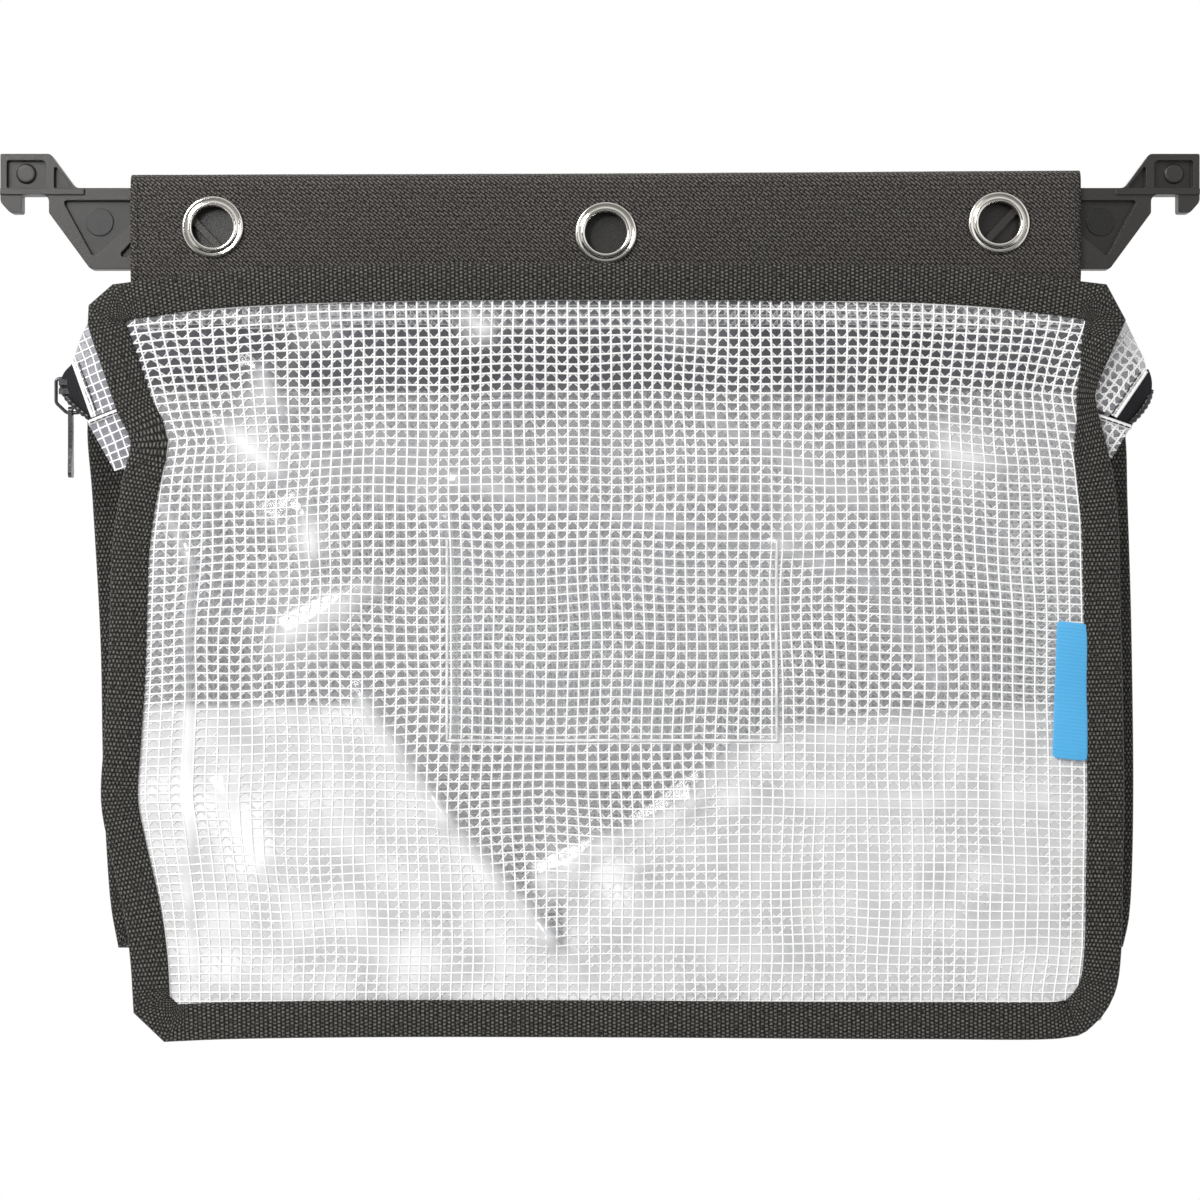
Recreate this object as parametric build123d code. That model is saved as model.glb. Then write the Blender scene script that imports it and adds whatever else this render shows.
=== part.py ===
from build123d import *
import os
from math import atan2, cos, hypot, radians, sin, tan

# A hanging storage pouch for a foolscap filing rail: a moulded hanger bar in a
# cloth header, and below it a zipped, gusseted bag of reinforced clear film.
# Lengths are in mm. X runs along the bar, -Y is the front, +Z is up.
# The origin is the middle of the line through the two rail seats.

# Hanger bar
rail_spacing = 387.0
notch_width = 9.3
notch_depth = 6.2
tip_width = 7.35
head_height = 14.0
shoulder_offset = 5.2
diagonal_angle = 53.7
web_top = 2.3
web_height = 27.8
bar_thickness = 5.0
bar_floor = 1.6
rim_width = 4.2
rib_width = 3.4
truss_pitch = 43.0
truss_start = 168.8
truss_cells = 4
head_rim = 2.2
head_rib = 2.8
flange_height = 2.0
flange_proud = 0.7
flange_length = 28.8
head_rib_out = 1.6
corner_pocket_drop = 1.4
corner_pocket_in = 1.0
end_pocket_top = 9.6
end_pocket_low = 3.4
rib_flare = 1.3
pocket_radius = 1.0
pip_radius = 3.4
pip_height = 1.1
pip_out = 3.4
pip_up = 7.4
ejector_radius = 4.7
ejector_height = 0.4
ejector_in = 2.9
ejector_up = 2.4

# Cloth header that the bar runs in
pouch_shift = 3.4
header_width = 325.0
header_offset = -1.4
header_rise = 6.9
header_depth = 8.4
header_cloth = 0.8
header_straight_end = 27.5
header_seam_drop = 38.0
header_seam_depth = 3.2
header_seam_fill = 1.5

# Eyelets
eyelet_pitch = 134.5
eyelet_drop_left = 11.3
eyelet_drop_centre = 13.3
eyelet_drop_right = 9.9
eyelet_bore = 14.0
eyelet_flange = 21.2
eyelet_wall = 0.7
eyelet_crown = 1.5
eyelet_lip = 0.5
eyelet_roll = 1.4
eyelet_skirt = 1.2
washer_thickness = 0.6
washer_width = 3.6

# Sheet goods
film = 0.5
binding_width = 12.5
binding_depth = 3.2
binding_fold = 1.0
binding_lap = 8.0
clearance = 0.3
reveal = 0.1

# Front panel, by its bound edge: half widths and drops below its top edge
front_offset = 26.0
front_drop = 26.7
front_height = 259.0
front_half = 170.0
front_crown_half = 100.0
front_crown_radius = 120.0
front_corner_in = 5.0
front_corner_down = 6.5
front_shoulder_out = 3.5
front_shoulder_down = 19.5
front_waist_in = 9.0
front_waist_down = 50.0
front_hip_down = 110.0
front_hip_in_left = 1.5
front_hem_down = 180.0
front_hem_out_right = 1.5
front_toe_in_left = 10.5
front_toe_up_left = 33.0
front_toe_up_right = 17.0
front_ankle_in_left = 12.0
front_ankle_up_left = 10.0
front_foot_in_left = 22.0
front_foot_in_right = 14.0

# Back panel, by its bound edge, in the plane of the bar
back_height = 220.5
back_half = 178.0
back_corner_in = 13.0
back_shoulder_down = 37.0
back_shoulder_out_left = 1.5
back_shoulder_in_right = 1.0
back_hem_down = 160.0
back_hem_out_right = 2.0
back_hip_down_left = 120.0
back_hem_in_left = 4.0
back_toe_in_left = 8.0
back_toe_in_right = 1.5
yoke_height = 22.5

# Zip and the gusset round the mouth
zip_drop = 67.0
zip_end_in = 8.6
coil_gap = 2.4
coil_width = 2.4
coil_height = 2.4
tape_thickness = 0.6
tape_flat = 3.0
tape_end = 3.4
tape_lap = 1.2
tape_knee_drop = 5.4
tape_knee_in = 0.8
tape_margin = 1.5
strip_rise = 28.0
strip_length = 16.5
strip_side_lap = 2.0
ear_out = 15.0
ear_lap = 14.0
ear_drop = 43.0
ear_crest = 45.0
ear_crest_in = 9.5
ear_shoulder_drop = 54.5
ear_shoulder_in = 4.1
ear_tip_rise = 6.0
ear_tip_fall = 1.0
ear_end_drop = 79.0
ear_end_in = 9.2
ear_toe_drop = 97.0
ear_toe_out = 10.0
ear_slope = 5.7
ear_tape = 6.5
ear_tape_margin = 3.0
seam_tape_height = 2.6
seam_tape_start = 7.1

# Side and floor gussets
gusset_half = 27.0
gusset_top_drop = 99.0
gusset_end_drop = 243.0
gusset_gap = 0.6
floor_hinge_drop = 246.0
floor_sag = 4.0
floor_side_gap = 6.0

# Slider and its pull tab
slider_length = 9.0
slider_gap = 0.5
slider_plate = 1.0
slider_side = 0.8
post_length = 2.0
post_inset = 0.4
wire = 1.2
wire_sink = 0.2
bail_reach = 1.7
bail_rise = 0.8
bail_drop = 8.5
bail_turn_rise = 3.4
bail_turn_run = 3.6
bail_run = 4.6
tab_length = 24.0
tab_width = 5.0
tab_neck = 4.0
tab_waist_drop = 12.1
tab_thickness = 1.2
tab_hole = 2.0
tab_offset = 1.4

# Label and card pocket on the front panel
label_width = 11.0
label_height = 46.0
label_drop = 146.2
label_thickness = 0.5
pocket_width = 111.0
pocket_height = 67.5
pocket_drop = 118.8
pocket_offset = 0.5

# Places worked out from the sizes above
bar_end = rail_spacing / 2 + notch_width / 2 + tip_width
notch_inner = rail_spacing / 2 - notch_width / 2
notch_outer = rail_spacing / 2 + notch_width / 2
web_bottom = web_top - web_height
cut_depth = (bar_thickness - bar_floor) / 2
front_y = -front_offset
front_back_face = front_y + binding_depth / 2
back_front_face = -binding_depth / 2
zip_y = (front_back_face + back_front_face) / 2
slider_width = 2 * (coil_gap / 2 + coil_width + clearance + slider_side)
slider_height = coil_height + 2 * clearance + 2 * slider_plate
header_face = header_depth / 2
front_top = -front_drop
front_bottom = front_top - front_height
back_top = -header_seam_drop
back_bottom = back_top - back_height
ear_root = front_half - ear_lap
ear_reach = front_half + ear_out
zip_half = ear_reach - zip_end_in
strip_y = front_back_face + film / 2 + reveal
slider_rest = -(zip_half + slider_gap + slider_length / 2)
strip_top = -zip_drop + strip_rise


def slab(face, y_front, y_back):
    """A face drawn in X and Z, made solid between two planes of Y."""
    return extrude(Plane.XZ.offset(-y_back) * face, y_back - y_front)


def along_x(face, x_low, x_high):
    """A section drawn in Y and Z, made solid between two planes of X."""
    return extrude(Plane.YZ.offset(x_low) * face, x_high - x_low)


def rounded_face(corners):
    """A face from corners given as across, up and corner radius."""
    points = [(across, up) for across, up, radius in corners]
    radii = [radius for across, up, radius in corners]
    return make_face(FilletPolyline(*points, radius=radii, close=True))


def polygon(*points):
    """A face with straight sides between the given points."""
    return make_face(Polyline(*points, close=True))


def band(points, thickness):
    """A thin strip of even thickness that follows a line of points."""
    side_a = []
    side_b = []
    for index, (across, up) in enumerate(points):
        before = points[max(index - 1, 0)]
        after = points[min(index + 1, len(points) - 1)]
        heading_in = atan2(up - before[1], across - before[0])
        heading_out = atan2(after[1] - up, after[0] - across)
        if index == 0:
            heading_in = heading_out
        if index == len(points) - 1:
            heading_out = heading_in
        heading = (heading_in + heading_out) / 2
        reach = thickness / 2 / cos((heading_out - heading_in) / 2)
        side_a.append((across - reach * sin(heading), up + reach * cos(heading)))
        side_b.append((across + reach * sin(heading), up - reach * cos(heading)))
    return polygon(*side_a, *reversed(side_b))


def mirrored(shape):
    """The same shape on the other side of the middle plane."""
    return mirror(shape, Plane.YZ)


def save(name, *solids):
    """Write one sub-part, as one solid or a group of separate ones."""
    shape = solids[0] if len(solids) == 1 else Compound(children=list(solids))
    export_step(shape, f"parts/{name}.step")


def save_pouch(name, *solids):
    """Write a sub-part of the pouch, which hangs a little off the bar's middle."""
    save(name, *[Pos(pouch_shift, 0, 0) * solid for solid in solids])


def hanger_bar():
    """Truss web with a stepped head at each end and a notch for each rail."""
    slope = tan(radians(diagonal_angle))
    shoulder = rail_spacing / 2 - shoulder_offset
    upper_foot = shoulder - (head_height - web_top) / slope
    lower_foot = notch_inner - (-notch_depth - web_bottom) / slope
    half = [
        (upper_foot, web_top, 3.0),
        (shoulder, head_height, 2.0),
        (bar_end, head_height, 0.6),
        (bar_end, -notch_depth / 2.5, 3.0),
        (bar_end - tip_width / 2.2, -notch_depth, 2.0),
        (notch_outer, -notch_depth, 0.8),
        (notch_outer, 0, 0.4),
        (notch_inner, 0, 2.4),
        (notch_inner, -notch_depth, 1.5),
        (lower_foot, web_bottom, 2.0),
    ]
    other = [(-across, up, radius) for across, up, radius in reversed(half)]
    bar = slab(rounded_face(half + other), -bar_thickness / 2, bar_thickness / 2)
    pockets = bar_pockets(upper_foot, lower_foot, shoulder)
    for y_front in (-bar_thickness / 2, bar_thickness / 2 - cut_depth):
        for face in pockets:
            bar -= slab(face, y_front, y_front + cut_depth)
    flange = Pos(bar_end - flange_length / 2, flange_height / 2) * Rectangle(
        flange_length, flange_height
    )
    pip = Pos(rail_spacing / 2 + pip_out, pip_up)
    ejector = Pos(truss_start + ejector_in, (web_top + web_bottom) / 2 + ejector_up)
    proud = bar_thickness / 2 + flange_proud
    floor = bar_floor / 2
    for side in (-1, 1):
        flange_slab = slab(flange, -proud, proud)
        mark = slab(ejector * Circle(ejector_radius), -floor - ejector_height, floor)
        dome = slab(pip * Circle(pip_radius), -floor - pip_height, floor)
        dome = fillet(dome.faces().sort_by(Axis.Y)[0].edges(), pip_height * 0.8)
        for extra in (flange_slab, mark, dome):
            bar += extra if side > 0 else mirrored(extra)
    return bar


def bar_pockets(upper_foot, lower_foot, shoulder):
    """The recesses of one face: two in each head and a truss row in the web."""
    faces = []
    head_low = web_top
    head_high = head_height - head_rim
    rib_edge = shoulder + head_rib_out
    square = [
        (bar_end - head_rim, head_low, 0.8),
        (bar_end - head_rim, head_high, 0.8),
        (rib_edge, head_high, 1.6),
        (rib_edge, head_low, 0.8),
    ]
    corner = [
        (rib_edge - head_rib, head_low, 0.5),
        (rib_edge - head_rib, head_high - corner_pocket_drop, 0.5),
        (upper_foot + corner_pocket_in, head_low, 0.5),
    ]
    high = web_top - rim_width
    low = web_bottom + rim_width
    gap = rib_width / 2 / sin(atan2(high - low, truss_pitch / 2))
    rise = truss_pitch / 2
    end = [
        (lower_foot + end_pocket_top, high, pocket_radius),
        (lower_foot - end_pocket_low + gap, low, pocket_radius),
        (truss_start - rise + gap * rib_flare, high, pocket_radius),
    ]
    cells = [square, corner, end]
    for index in range(truss_cells):
        foot = truss_start - index * rise
        flat, tip = (low, high) if index % 2 == 0 else (high, low)
        cells.append(
            [
                (foot - gap * rib_flare, flat, pocket_radius),
                (foot - rise, tip, pocket_radius),
                (foot - 2 * rise + gap * rib_flare, flat, pocket_radius),
            ]
        )
    plain = truss_start - (truss_cells + 1) * rise - gap
    faces.append(Pos(0, (high + low) / 2) * Rectangle(2 * plain, high - low))
    for cell in cells:
        faces.append(rounded_face(cell))
        faces.append(rounded_face([(-across, up, radius) for across, up, radius in cell]))
    return faces


def header_section(inset):
    """The header's closed section round the bar, drawn inset by a distance."""
    half = header_face - inset
    spring = header_rise - header_face
    low = -header_seam_drop
    if inset:
        low += header_seam_fill
    sides = Polyline(
        (-half, spring),
        (-half, -header_straight_end),
        (-header_seam_depth / 2 + inset, low),
        (header_seam_depth / 2 - inset, low),
        (half, -header_straight_end),
        (half, spring),
    )
    crown = ThreePointArc((-half, spring), (0, spring + half), (half, spring))
    return make_face(sides + crown)


def header_sleeve():
    """Cloth folded over the bar and closed below it, pierced for the eyelets."""
    cloth = header_section(0) - header_section(header_cloth)
    middle = header_offset
    sleeve = along_x(cloth, middle - header_width / 2, middle + header_width / 2)
    for index in (-1, 0, 1):
        hole = Pos(eyelet_centre(index)) * Circle(eyelet_bore / 2 + eyelet_wall)
        sleeve -= slab(hole, -header_depth, header_depth)
    return sleeve


def eyelet_centre(index):
    """Where an eyelet sits on the header, -1 being the left one."""
    drop = {-1: eyelet_drop_left, 0: eyelet_drop_centre, 1: eyelet_drop_right}[index]
    return header_offset + index * eyelet_pitch, -drop


def eyelet(index, rear):
    """A rolled nickel flange on the cloth with a barrel set through it."""
    bore = eyelet_bore / 2
    flange = eyelet_flange / 2
    face = header_face
    inner = face - header_cloth
    profile = make_face(
        Polyline(
            (bore, inner - washer_thickness),
            (bore, face + eyelet_crown * 0.6),
            (bore + eyelet_lip, face + eyelet_crown * 0.9),
            (bore + eyelet_roll, face + eyelet_crown),
            (flange - eyelet_skirt, face + eyelet_crown * 0.7),
            (flange, face),
            (bore + eyelet_wall, face),
            (bore + eyelet_wall, inner - washer_thickness),
            close=True,
        )
    )
    ring = revolve(Plane.XY * profile, Axis.Y)
    if not rear:
        ring = mirror(ring, Plane.XZ)
    across, up = eyelet_centre(index)
    return Pos(across, 0, up) * ring


def eyelet_washer(index, rear):
    """The flat ring that the barrel is set against, inside the sleeve."""
    inner = header_face - header_cloth
    hole = eyelet_bore / 2 + eyelet_wall
    ring = Circle(hole + washer_width) - Circle(hole)
    face = Pos(eyelet_centre(index)) * ring
    if rear:
        return slab(face, inner - washer_thickness, inner)
    return slab(face, -inner, -inner + washer_thickness)


def front_outline():
    """The bound edge of the front panel, drawn in by its creases."""
    top = front_top
    bottom = front_bottom
    half = front_half
    shared = [
        (half - front_corner_in, top - front_corner_down, 3.0),
        (half + front_shoulder_out, top - front_shoulder_down, 6.0),
        (half - front_waist_in, top - front_waist_down, 18.0),
    ]
    right = shared + [
        (half, top - front_hip_down, 40.0),
        (half + front_hem_out_right, top - front_hem_down, 60.0),
        (half, bottom + front_toe_up_right, 8.0),
        (half - front_foot_in_right, bottom, 9.0),
    ]
    left = shared + [
        (half - front_hip_in_left, top - front_hip_down, 40.0),
        (half, top - front_hem_down, 24.0),
        (half - front_toe_in_left, bottom + front_toe_up_left, 40.0),
        (half - front_ankle_in_left, bottom + front_ankle_up_left, 3.0),
        (half - front_foot_in_left, bottom, 3.0),
    ]
    crown = [(front_crown_half, top, front_crown_radius)]
    right_half = crown + right
    left_half = [(-across, up, radius) for across, up, radius in reversed(crown + left)]
    return rounded_face(right_half + left_half)


def back_outline():
    """The bound edge of the back panel."""
    top = back_top
    half = back_half
    corner = (half - back_corner_in, top, 4.0)
    right = [
        corner,
        (half - back_shoulder_in_right, top - back_shoulder_down, 24.0),
        (half + back_hem_out_right, top - back_hem_down, 60.0),
        (half - back_toe_in_right, back_bottom, 6.0),
    ]
    left = [
        corner,
        (half + back_shoulder_out_left, top - back_shoulder_down, 24.0),
        (half - back_hem_in_left, top - back_hip_down_left, 60.0),
        (half - back_toe_in_left, back_bottom, 4.0),
    ]
    left_half = [(-across, up, radius) for across, up, radius in reversed(left)]
    return rounded_face(right + left_half)


def binding_runs(outline, y_middle, half, top, bottom):
    """Tape folded round a panel's edge, cut at the corners into four runs."""
    ring = outline - offset(outline, -binding_width)
    core = offset(outline, -binding_fold)
    tape = slab(ring, y_middle - binding_depth / 2, y_middle + binding_depth / 2)
    tape -= slab(core, y_middle - film / 2, y_middle + film / 2)
    inner = half - binding_width - binding_lap
    inner_top = top - binding_width - binding_lap
    inner_bottom = bottom + binding_width + binding_lap
    outer = half + 2 * binding_width
    out = outer - inner
    top_left = [(-inner, inner_top), (-outer, inner_top + out)]
    top_right = [(outer, inner_top + out), (inner, inner_top)]
    bottom_right = [(inner, inner_bottom), (outer, inner_bottom - out)]
    bottom_left = [(-outer, inner_bottom - out), (-inner, inner_bottom)]
    wedges = {
        "top": top_left + top_right,
        "bottom": bottom_right + bottom_left,
        "left": list(reversed(top_left)) + list(reversed(bottom_left)),
        "right": list(reversed(top_right)) + list(reversed(bottom_right)),
    }
    runs = {}
    for side, points in wedges.items():
        wedge = slab(polygon(*points), y_middle - binding_depth, y_middle + binding_depth)
        runs[side] = tape & wedge
    return runs


def mouth_strip():
    """Film strip from the front binding down to the zip, with an ear each end."""
    half = ear_root + strip_side_lap
    leg = Pos(0, strip_top - strip_length / 2) * Rectangle(2 * half, strip_length)
    strip = slab(leg, strip_y - film / 2, strip_y + film / 2)
    end = ear_length() - ear_tape - tape_margin
    for side in (-1, 1):
        ear = ear_plate(ear_outline(0, end), film, strip_y)
        strip += ear if side > 0 else mirrored(ear)
    return strip


def ear_length():
    """Length of an ear from its root to its fold."""
    return hypot(ear_reach - ear_root, ear_slope)


def ear_outline(start, end):
    """The ear, as length along it and height, between two lengths."""
    long = ear_length()
    ear = polygon(
        (0, -ear_drop),
        (long - ear_crest_in, -ear_crest),
        (long - ear_shoulder_in, -ear_shoulder_drop),
        (long, -zip_drop + ear_tip_rise),
        (long, -zip_drop - ear_tip_fall),
        (long - ear_end_in, -ear_end_drop),
        (ear_toe_out, -ear_toe_drop),
        (0, -ear_toe_drop),
    )
    window = Pos((start + end) / 2, -zip_drop) * Rectangle(end - start, 2 * zip_drop)
    return ear & window


def ear_plate(face, thickness, y_root):
    """A face of the ear, stood in the slanted plane between binding and fold."""
    long = ear_length()
    along = Vector((ear_reach - ear_root) / long, ear_slope / long, 0)
    facing = Vector(along.Y, -along.X, 0)
    start = Vector(ear_root, y_root, 0) - facing * (thickness / 2)
    plane = Plane(origin=start, x_dir=along, z_dir=facing)
    return extrude(plane * face, thickness)


def zip_tape():
    """Front zip tape: flat beside the coil, turned up to the film strip."""
    coil_edge = zip_y - coil_gap / 2 - coil_width
    flat_edge = coil_edge - tape_flat
    join = strip_top - strip_length
    turned = band(
        [
            (strip_y, join - reveal),
            (strip_y + tape_knee_in, join - reveal - tape_knee_drop),
            (flat_edge, -zip_drop),
            (flat_edge + tape_lap, -zip_drop),
        ],
        tape_thickness,
    )
    tape = along_x(turned, -ear_root + film, ear_root - film)
    flat = Pos((coil_edge + flat_edge) / 2, -zip_drop) * Rectangle(tape_flat, tape_thickness)
    tape += along_x(flat, -zip_half - tape_end, zip_half + tape_end)
    long = ear_length()
    face = ear_outline(long - ear_tape, long)
    height = ear_end_drop - ear_shoulder_drop - 2 * ear_tape_margin
    window = Pos(long - ear_tape / 2, -(ear_shoulder_drop + ear_end_drop) / 2)
    face = face & window * Rectangle(ear_tape, height)
    plate = ear_plate(face, tape_thickness, strip_y)
    return tape + plate + mirrored(plate)


def zip_coil():
    """Front half of the coil, beside the middle of the chain."""
    middle = zip_y - coil_gap / 2 - coil_width / 2
    section = Pos(middle, -zip_drop) * Rectangle(coil_width, coil_height)
    return along_x(section, -zip_half, zip_half)


def to_rear(shape):
    """The matching rear half, across the middle plane of the zip."""
    return mirror(shape, Plane.XZ.offset(-zip_y))


def seam_tape():
    """Short tape across the gusset where the zip section ends, on the right."""
    long = ear_length()
    face = ear_outline(seam_tape_start, long - ear_end_in)
    window = Pos(long / 2, -ear_end_drop + seam_tape_height / 2)
    face = face & window * Rectangle(long, seam_tape_height)
    return ear_plate(face, film, strip_y - film - reveal / 5)


def gusset_plate(start, fold, side):
    """Half of a side gusset, upright between its binding and its inward fold."""
    along = Vector(fold[0] - start[0], fold[1] - start[1], 0)
    length = along.length
    along = along.normalized()
    facing = Vector(along.Y, -along.X, 0)
    height = gusset_end_drop - gusset_top_drop
    face = Pos(length / 2, -gusset_top_drop - height / 2) * Rectangle(length, height)
    plane = Plane(origin=Vector(start[0], start[1], 0), x_dir=along, z_dir=facing)
    return extrude(plane * face, side * film)


def side_gussets():
    """Front and rear halves of the right side gusset, folded inward between them."""
    front_start = (front_half - binding_width, front_back_face + reveal)
    rear_start = (back_half - binding_width, back_front_face - reveal)
    front_fold_y = zip_y - gusset_gap / 2 - film
    rear_fold_y = zip_y + gusset_gap / 2 + film
    inward = (gusset_half**2 - (front_fold_y - front_start[1]) ** 2) ** 0.5
    fold_x = front_start[0] - inward
    front = gusset_plate(front_start, (fold_x, front_fold_y), 1)
    rear = gusset_plate(rear_start, (fold_x, rear_fold_y), -1)
    return front, rear


def floor_gusset():
    """Film floor from the foot of the back panel down to the front panel."""
    front_foot = front_bottom + binding_width
    line = [
        (back_front_face - clearance - film / 2, -floor_hinge_drop),
        (zip_y, (front_foot - floor_hinge_drop) / 2 - floor_sag),
        (front_back_face + film / 2, front_foot),
    ]
    half = front_half - binding_width - floor_side_gap
    return along_x(band(line, film), -half, half)


def side_label():
    """Folded fabric label on the film, against the right binding."""
    right = front_half - binding_width - clearance
    face = Pos(right - label_width / 2, -label_drop - label_height / 2)
    face = face * Rectangle(label_width, label_height)
    front = front_y - film / 2
    return slab(face, front - label_thickness, front)


def card_pocket():
    """Clear pocket for a card, welded to the outside of the front panel."""
    face = Pos(pocket_offset, -pocket_drop - pocket_height / 2)
    face = face * Rectangle(pocket_width, pocket_height)
    front = front_y - film / 2
    return slab(face, front - film, front)


def zip_slider():
    """Slider body with a tape slot each side, a post and a wire bail."""
    body = Box(slider_length, slider_width, slider_height)
    body = fillet(body.edges().filter_by(Axis.Z), slider_side * 0.9)
    channel_width = slider_width - 2 * slider_side
    body -= Box(slider_length, channel_width, slider_height - 2 * slider_plate)
    body -= Box(slider_length, slider_width, tape_thickness + 2 * clearance)
    post_width = coil_gap - 2 * clearance
    post_x = -slider_length / 2 + post_length / 2 + post_inset
    body += Pos(post_x, 0, 0) * Box(post_length, post_width, slider_height)
    nose = -slider_length / 2 - bail_reach
    top = slider_height / 2 + wire / 2 - wire_sink
    low = -bail_drop
    turn = nose + bail_turn_run
    route = FilletPolyline(
        (0, 0, slider_height / 2 - wire_sink),
        (0, 0, top + bail_rise),
        (nose, 0, top),
        (nose, 0, low + bail_turn_rise),
        (turn, 0, low),
        (turn + bail_run, 0, low),
        (turn + bail_run, 0, -slider_height / 2 + wire_sink),
        radius=[0.7, 1.2, 2.0, 2.0, 1.2],
    )
    section = Plane(origin=route @ 0, z_dir=route % 0) * Circle(wire / 2)
    body += sweep(section, path=route)
    return Pos(slider_rest, zip_y, -zip_drop) * body


def tab_centre():
    """Where the pull tab hangs on the bail's lower run."""
    turn = -slider_length / 2 - bail_reach + bail_turn_run
    return Vector(slider_rest + turn + tab_offset, zip_y, -zip_drop - bail_drop)


def pull_tab():
    """Flat pull tab with a hole for the bail, a little wider at its tip."""
    low = -tab_length + tab_hole
    outline = rounded_face(
        [
            (-tab_neck / 2, tab_hole, 1.2),
            (tab_neck / 2, tab_hole, 1.2),
            (tab_neck / 2, -tab_waist_drop, 8.0),
            (tab_width / 2, low, 1.6),
            (-tab_width / 2, low, 1.6),
            (-tab_neck / 2, -tab_waist_drop, 8.0),
        ]
    )
    outline -= Circle(tab_hole / 2)
    plate = along_x(outline, -tab_thickness / 2, tab_thickness / 2)
    return Pos(tab_centre()) * plate


def build():
    """Make every sub-part and write it to its own file."""
    os.makedirs("parts", exist_ok=True)
    save("hanger_bar", hanger_bar())
    save_pouch("header_sleeve", header_sleeve())
    for side, rear in (("front", False), ("rear", True)):
        for name, index in (("left", -1), ("centre", 0), ("right", 1)):
            save_pouch(f"{side}_eyelet_{name}", eyelet(index, rear))
        save_pouch(f"{side}_eyelet_washers", *[eyelet_washer(index, rear) for index in (-1, 0, 1)])

    back = back_outline()
    core = offset(back, -binding_fold)
    yoke_line = back_top - yoke_height
    window = Rectangle(3 * back_half, back_height)
    above = Pos(0, yoke_line + back_height / 2) * window
    below = Pos(0, yoke_line - back_height / 2) * window
    save_pouch("back_yoke", slab(core & above, -film / 2, film / 2))
    save_pouch("back_panel", slab(core & below, -film / 2, film / 2))
    for side, run in binding_runs(back, 0, back_half, back_top, back_bottom).items():
        save_pouch(f"back_binding_{side}", run)

    front = front_outline()
    front_core = offset(front, -binding_fold)
    save_pouch("front_panel", slab(front_core, front_y - film / 2, front_y + film / 2))
    for side, run in binding_runs(front, front_y, front_half, front_top, front_bottom).items():
        save_pouch(f"front_binding_{side}", run)

    for name, shape in (
        ("mouth_strip", mouth_strip()),
        ("zip_tape", zip_tape()),
        ("zip_coil", zip_coil()),
    ):
        save_pouch(f"{name}_front", shape)
        save_pouch(f"{name}_rear", to_rear(shape))
    for half, shape in zip(("front", "rear"), side_gussets()):
        save_pouch(f"gusset_right_{half}", shape)
        save_pouch(f"gusset_left_{half}", mirrored(shape))
    save_pouch("gusset_seam_right", seam_tape())
    save_pouch("gusset_seam_left", mirrored(seam_tape()))
    save_pouch("floor_gusset", floor_gusset())
    save_pouch("side_label", side_label())
    save_pouch("card_pocket", card_pocket())
    save_pouch("zip_slider", zip_slider())
    save_pouch("zip_pull_tab", pull_tab())


build()
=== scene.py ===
import math
from functools import wraps

import bmesh
import bpy
import numpy as np
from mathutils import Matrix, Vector, noise


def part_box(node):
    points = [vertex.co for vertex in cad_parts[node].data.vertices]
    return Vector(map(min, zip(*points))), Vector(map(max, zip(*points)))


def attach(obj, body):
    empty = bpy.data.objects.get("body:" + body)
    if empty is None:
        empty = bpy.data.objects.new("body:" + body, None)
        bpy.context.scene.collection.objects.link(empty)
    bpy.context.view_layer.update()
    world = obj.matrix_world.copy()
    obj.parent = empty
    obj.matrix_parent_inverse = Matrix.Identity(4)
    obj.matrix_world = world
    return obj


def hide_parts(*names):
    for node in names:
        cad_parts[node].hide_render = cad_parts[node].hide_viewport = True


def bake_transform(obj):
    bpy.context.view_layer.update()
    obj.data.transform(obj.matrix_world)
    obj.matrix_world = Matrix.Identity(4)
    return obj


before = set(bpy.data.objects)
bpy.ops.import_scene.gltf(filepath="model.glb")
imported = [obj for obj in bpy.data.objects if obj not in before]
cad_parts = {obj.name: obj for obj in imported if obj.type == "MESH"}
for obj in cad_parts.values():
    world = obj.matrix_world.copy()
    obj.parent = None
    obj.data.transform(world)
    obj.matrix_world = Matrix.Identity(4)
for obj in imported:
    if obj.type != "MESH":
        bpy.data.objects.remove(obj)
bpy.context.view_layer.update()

bl_info = {
    "name": "Hanging Document Pouch",
    "version": (1, 0, 0),
    "blender": (4, 5, 0),
    "location": "3D View > Sidebar > Pouch",
    "description": "Dresses a hanging zip pouch with its cloth, film, net, zip and metal",
    "category": "Object",
}

MM = 0.001

# The pouch hangs this far to the right of the bar's middle, in mm.
POUCH_SHIFT = 3.4

# Depths of the two panels and of the zip between them, in mm.
FRONT_Y = -26.0
BACK_Y = 0.0
ZIP_Y = -13.0
ZIP_Z = -67.0

# Half the width of a panel, the width that its binding covers, and the height of
# the front film's foot, in mm.
PANEL_HALF = 165.0
BOUND = 12.0
FILM_FOOT = -279.0

# X of the front film's edges where no crease draws it in, and how far inside the
# bound edge it starts at the left and the right, in mm.
FILM_SPAN = (-153.0, 163.5)
FILM_INSET = (6.0, 4.6)

# The header sleeve in mm: X of its ends, half its depth round the bar, the height
# where its faces start to draw together, its foot, how far its hems lie inside
# its ends, and the radius of the holes for the eyelets' barrels.
HEADER_ENDS = (-160.6, 164.5)
HEADER_HALF = 3.8
HEADER_TAPER = -27.5
HEADER_FOOT = -38.0
HEM_INSET = 2.2
BARREL_HOLE = 9.0

# Width and height of the sheet that an ear's patches are cut from, in mm, and how
# far its corner lies beyond the head of the fold, out from it and up.
EAR_SHEET = (45.0, 66.0)
EAR_CORNER = (8.0, 26.0)

# X of the side gussets' inward fold from the pouch's middle, in mm.
GUSSET_FOLD = 132.6

# The card pocket in mm: X of its left edge, Z of its mouth, width and height.
POCKET_LEFT = -51.6
POCKET_TOP = -118.8
POCKET_SIZE = (111.0, 67.5)

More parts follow.
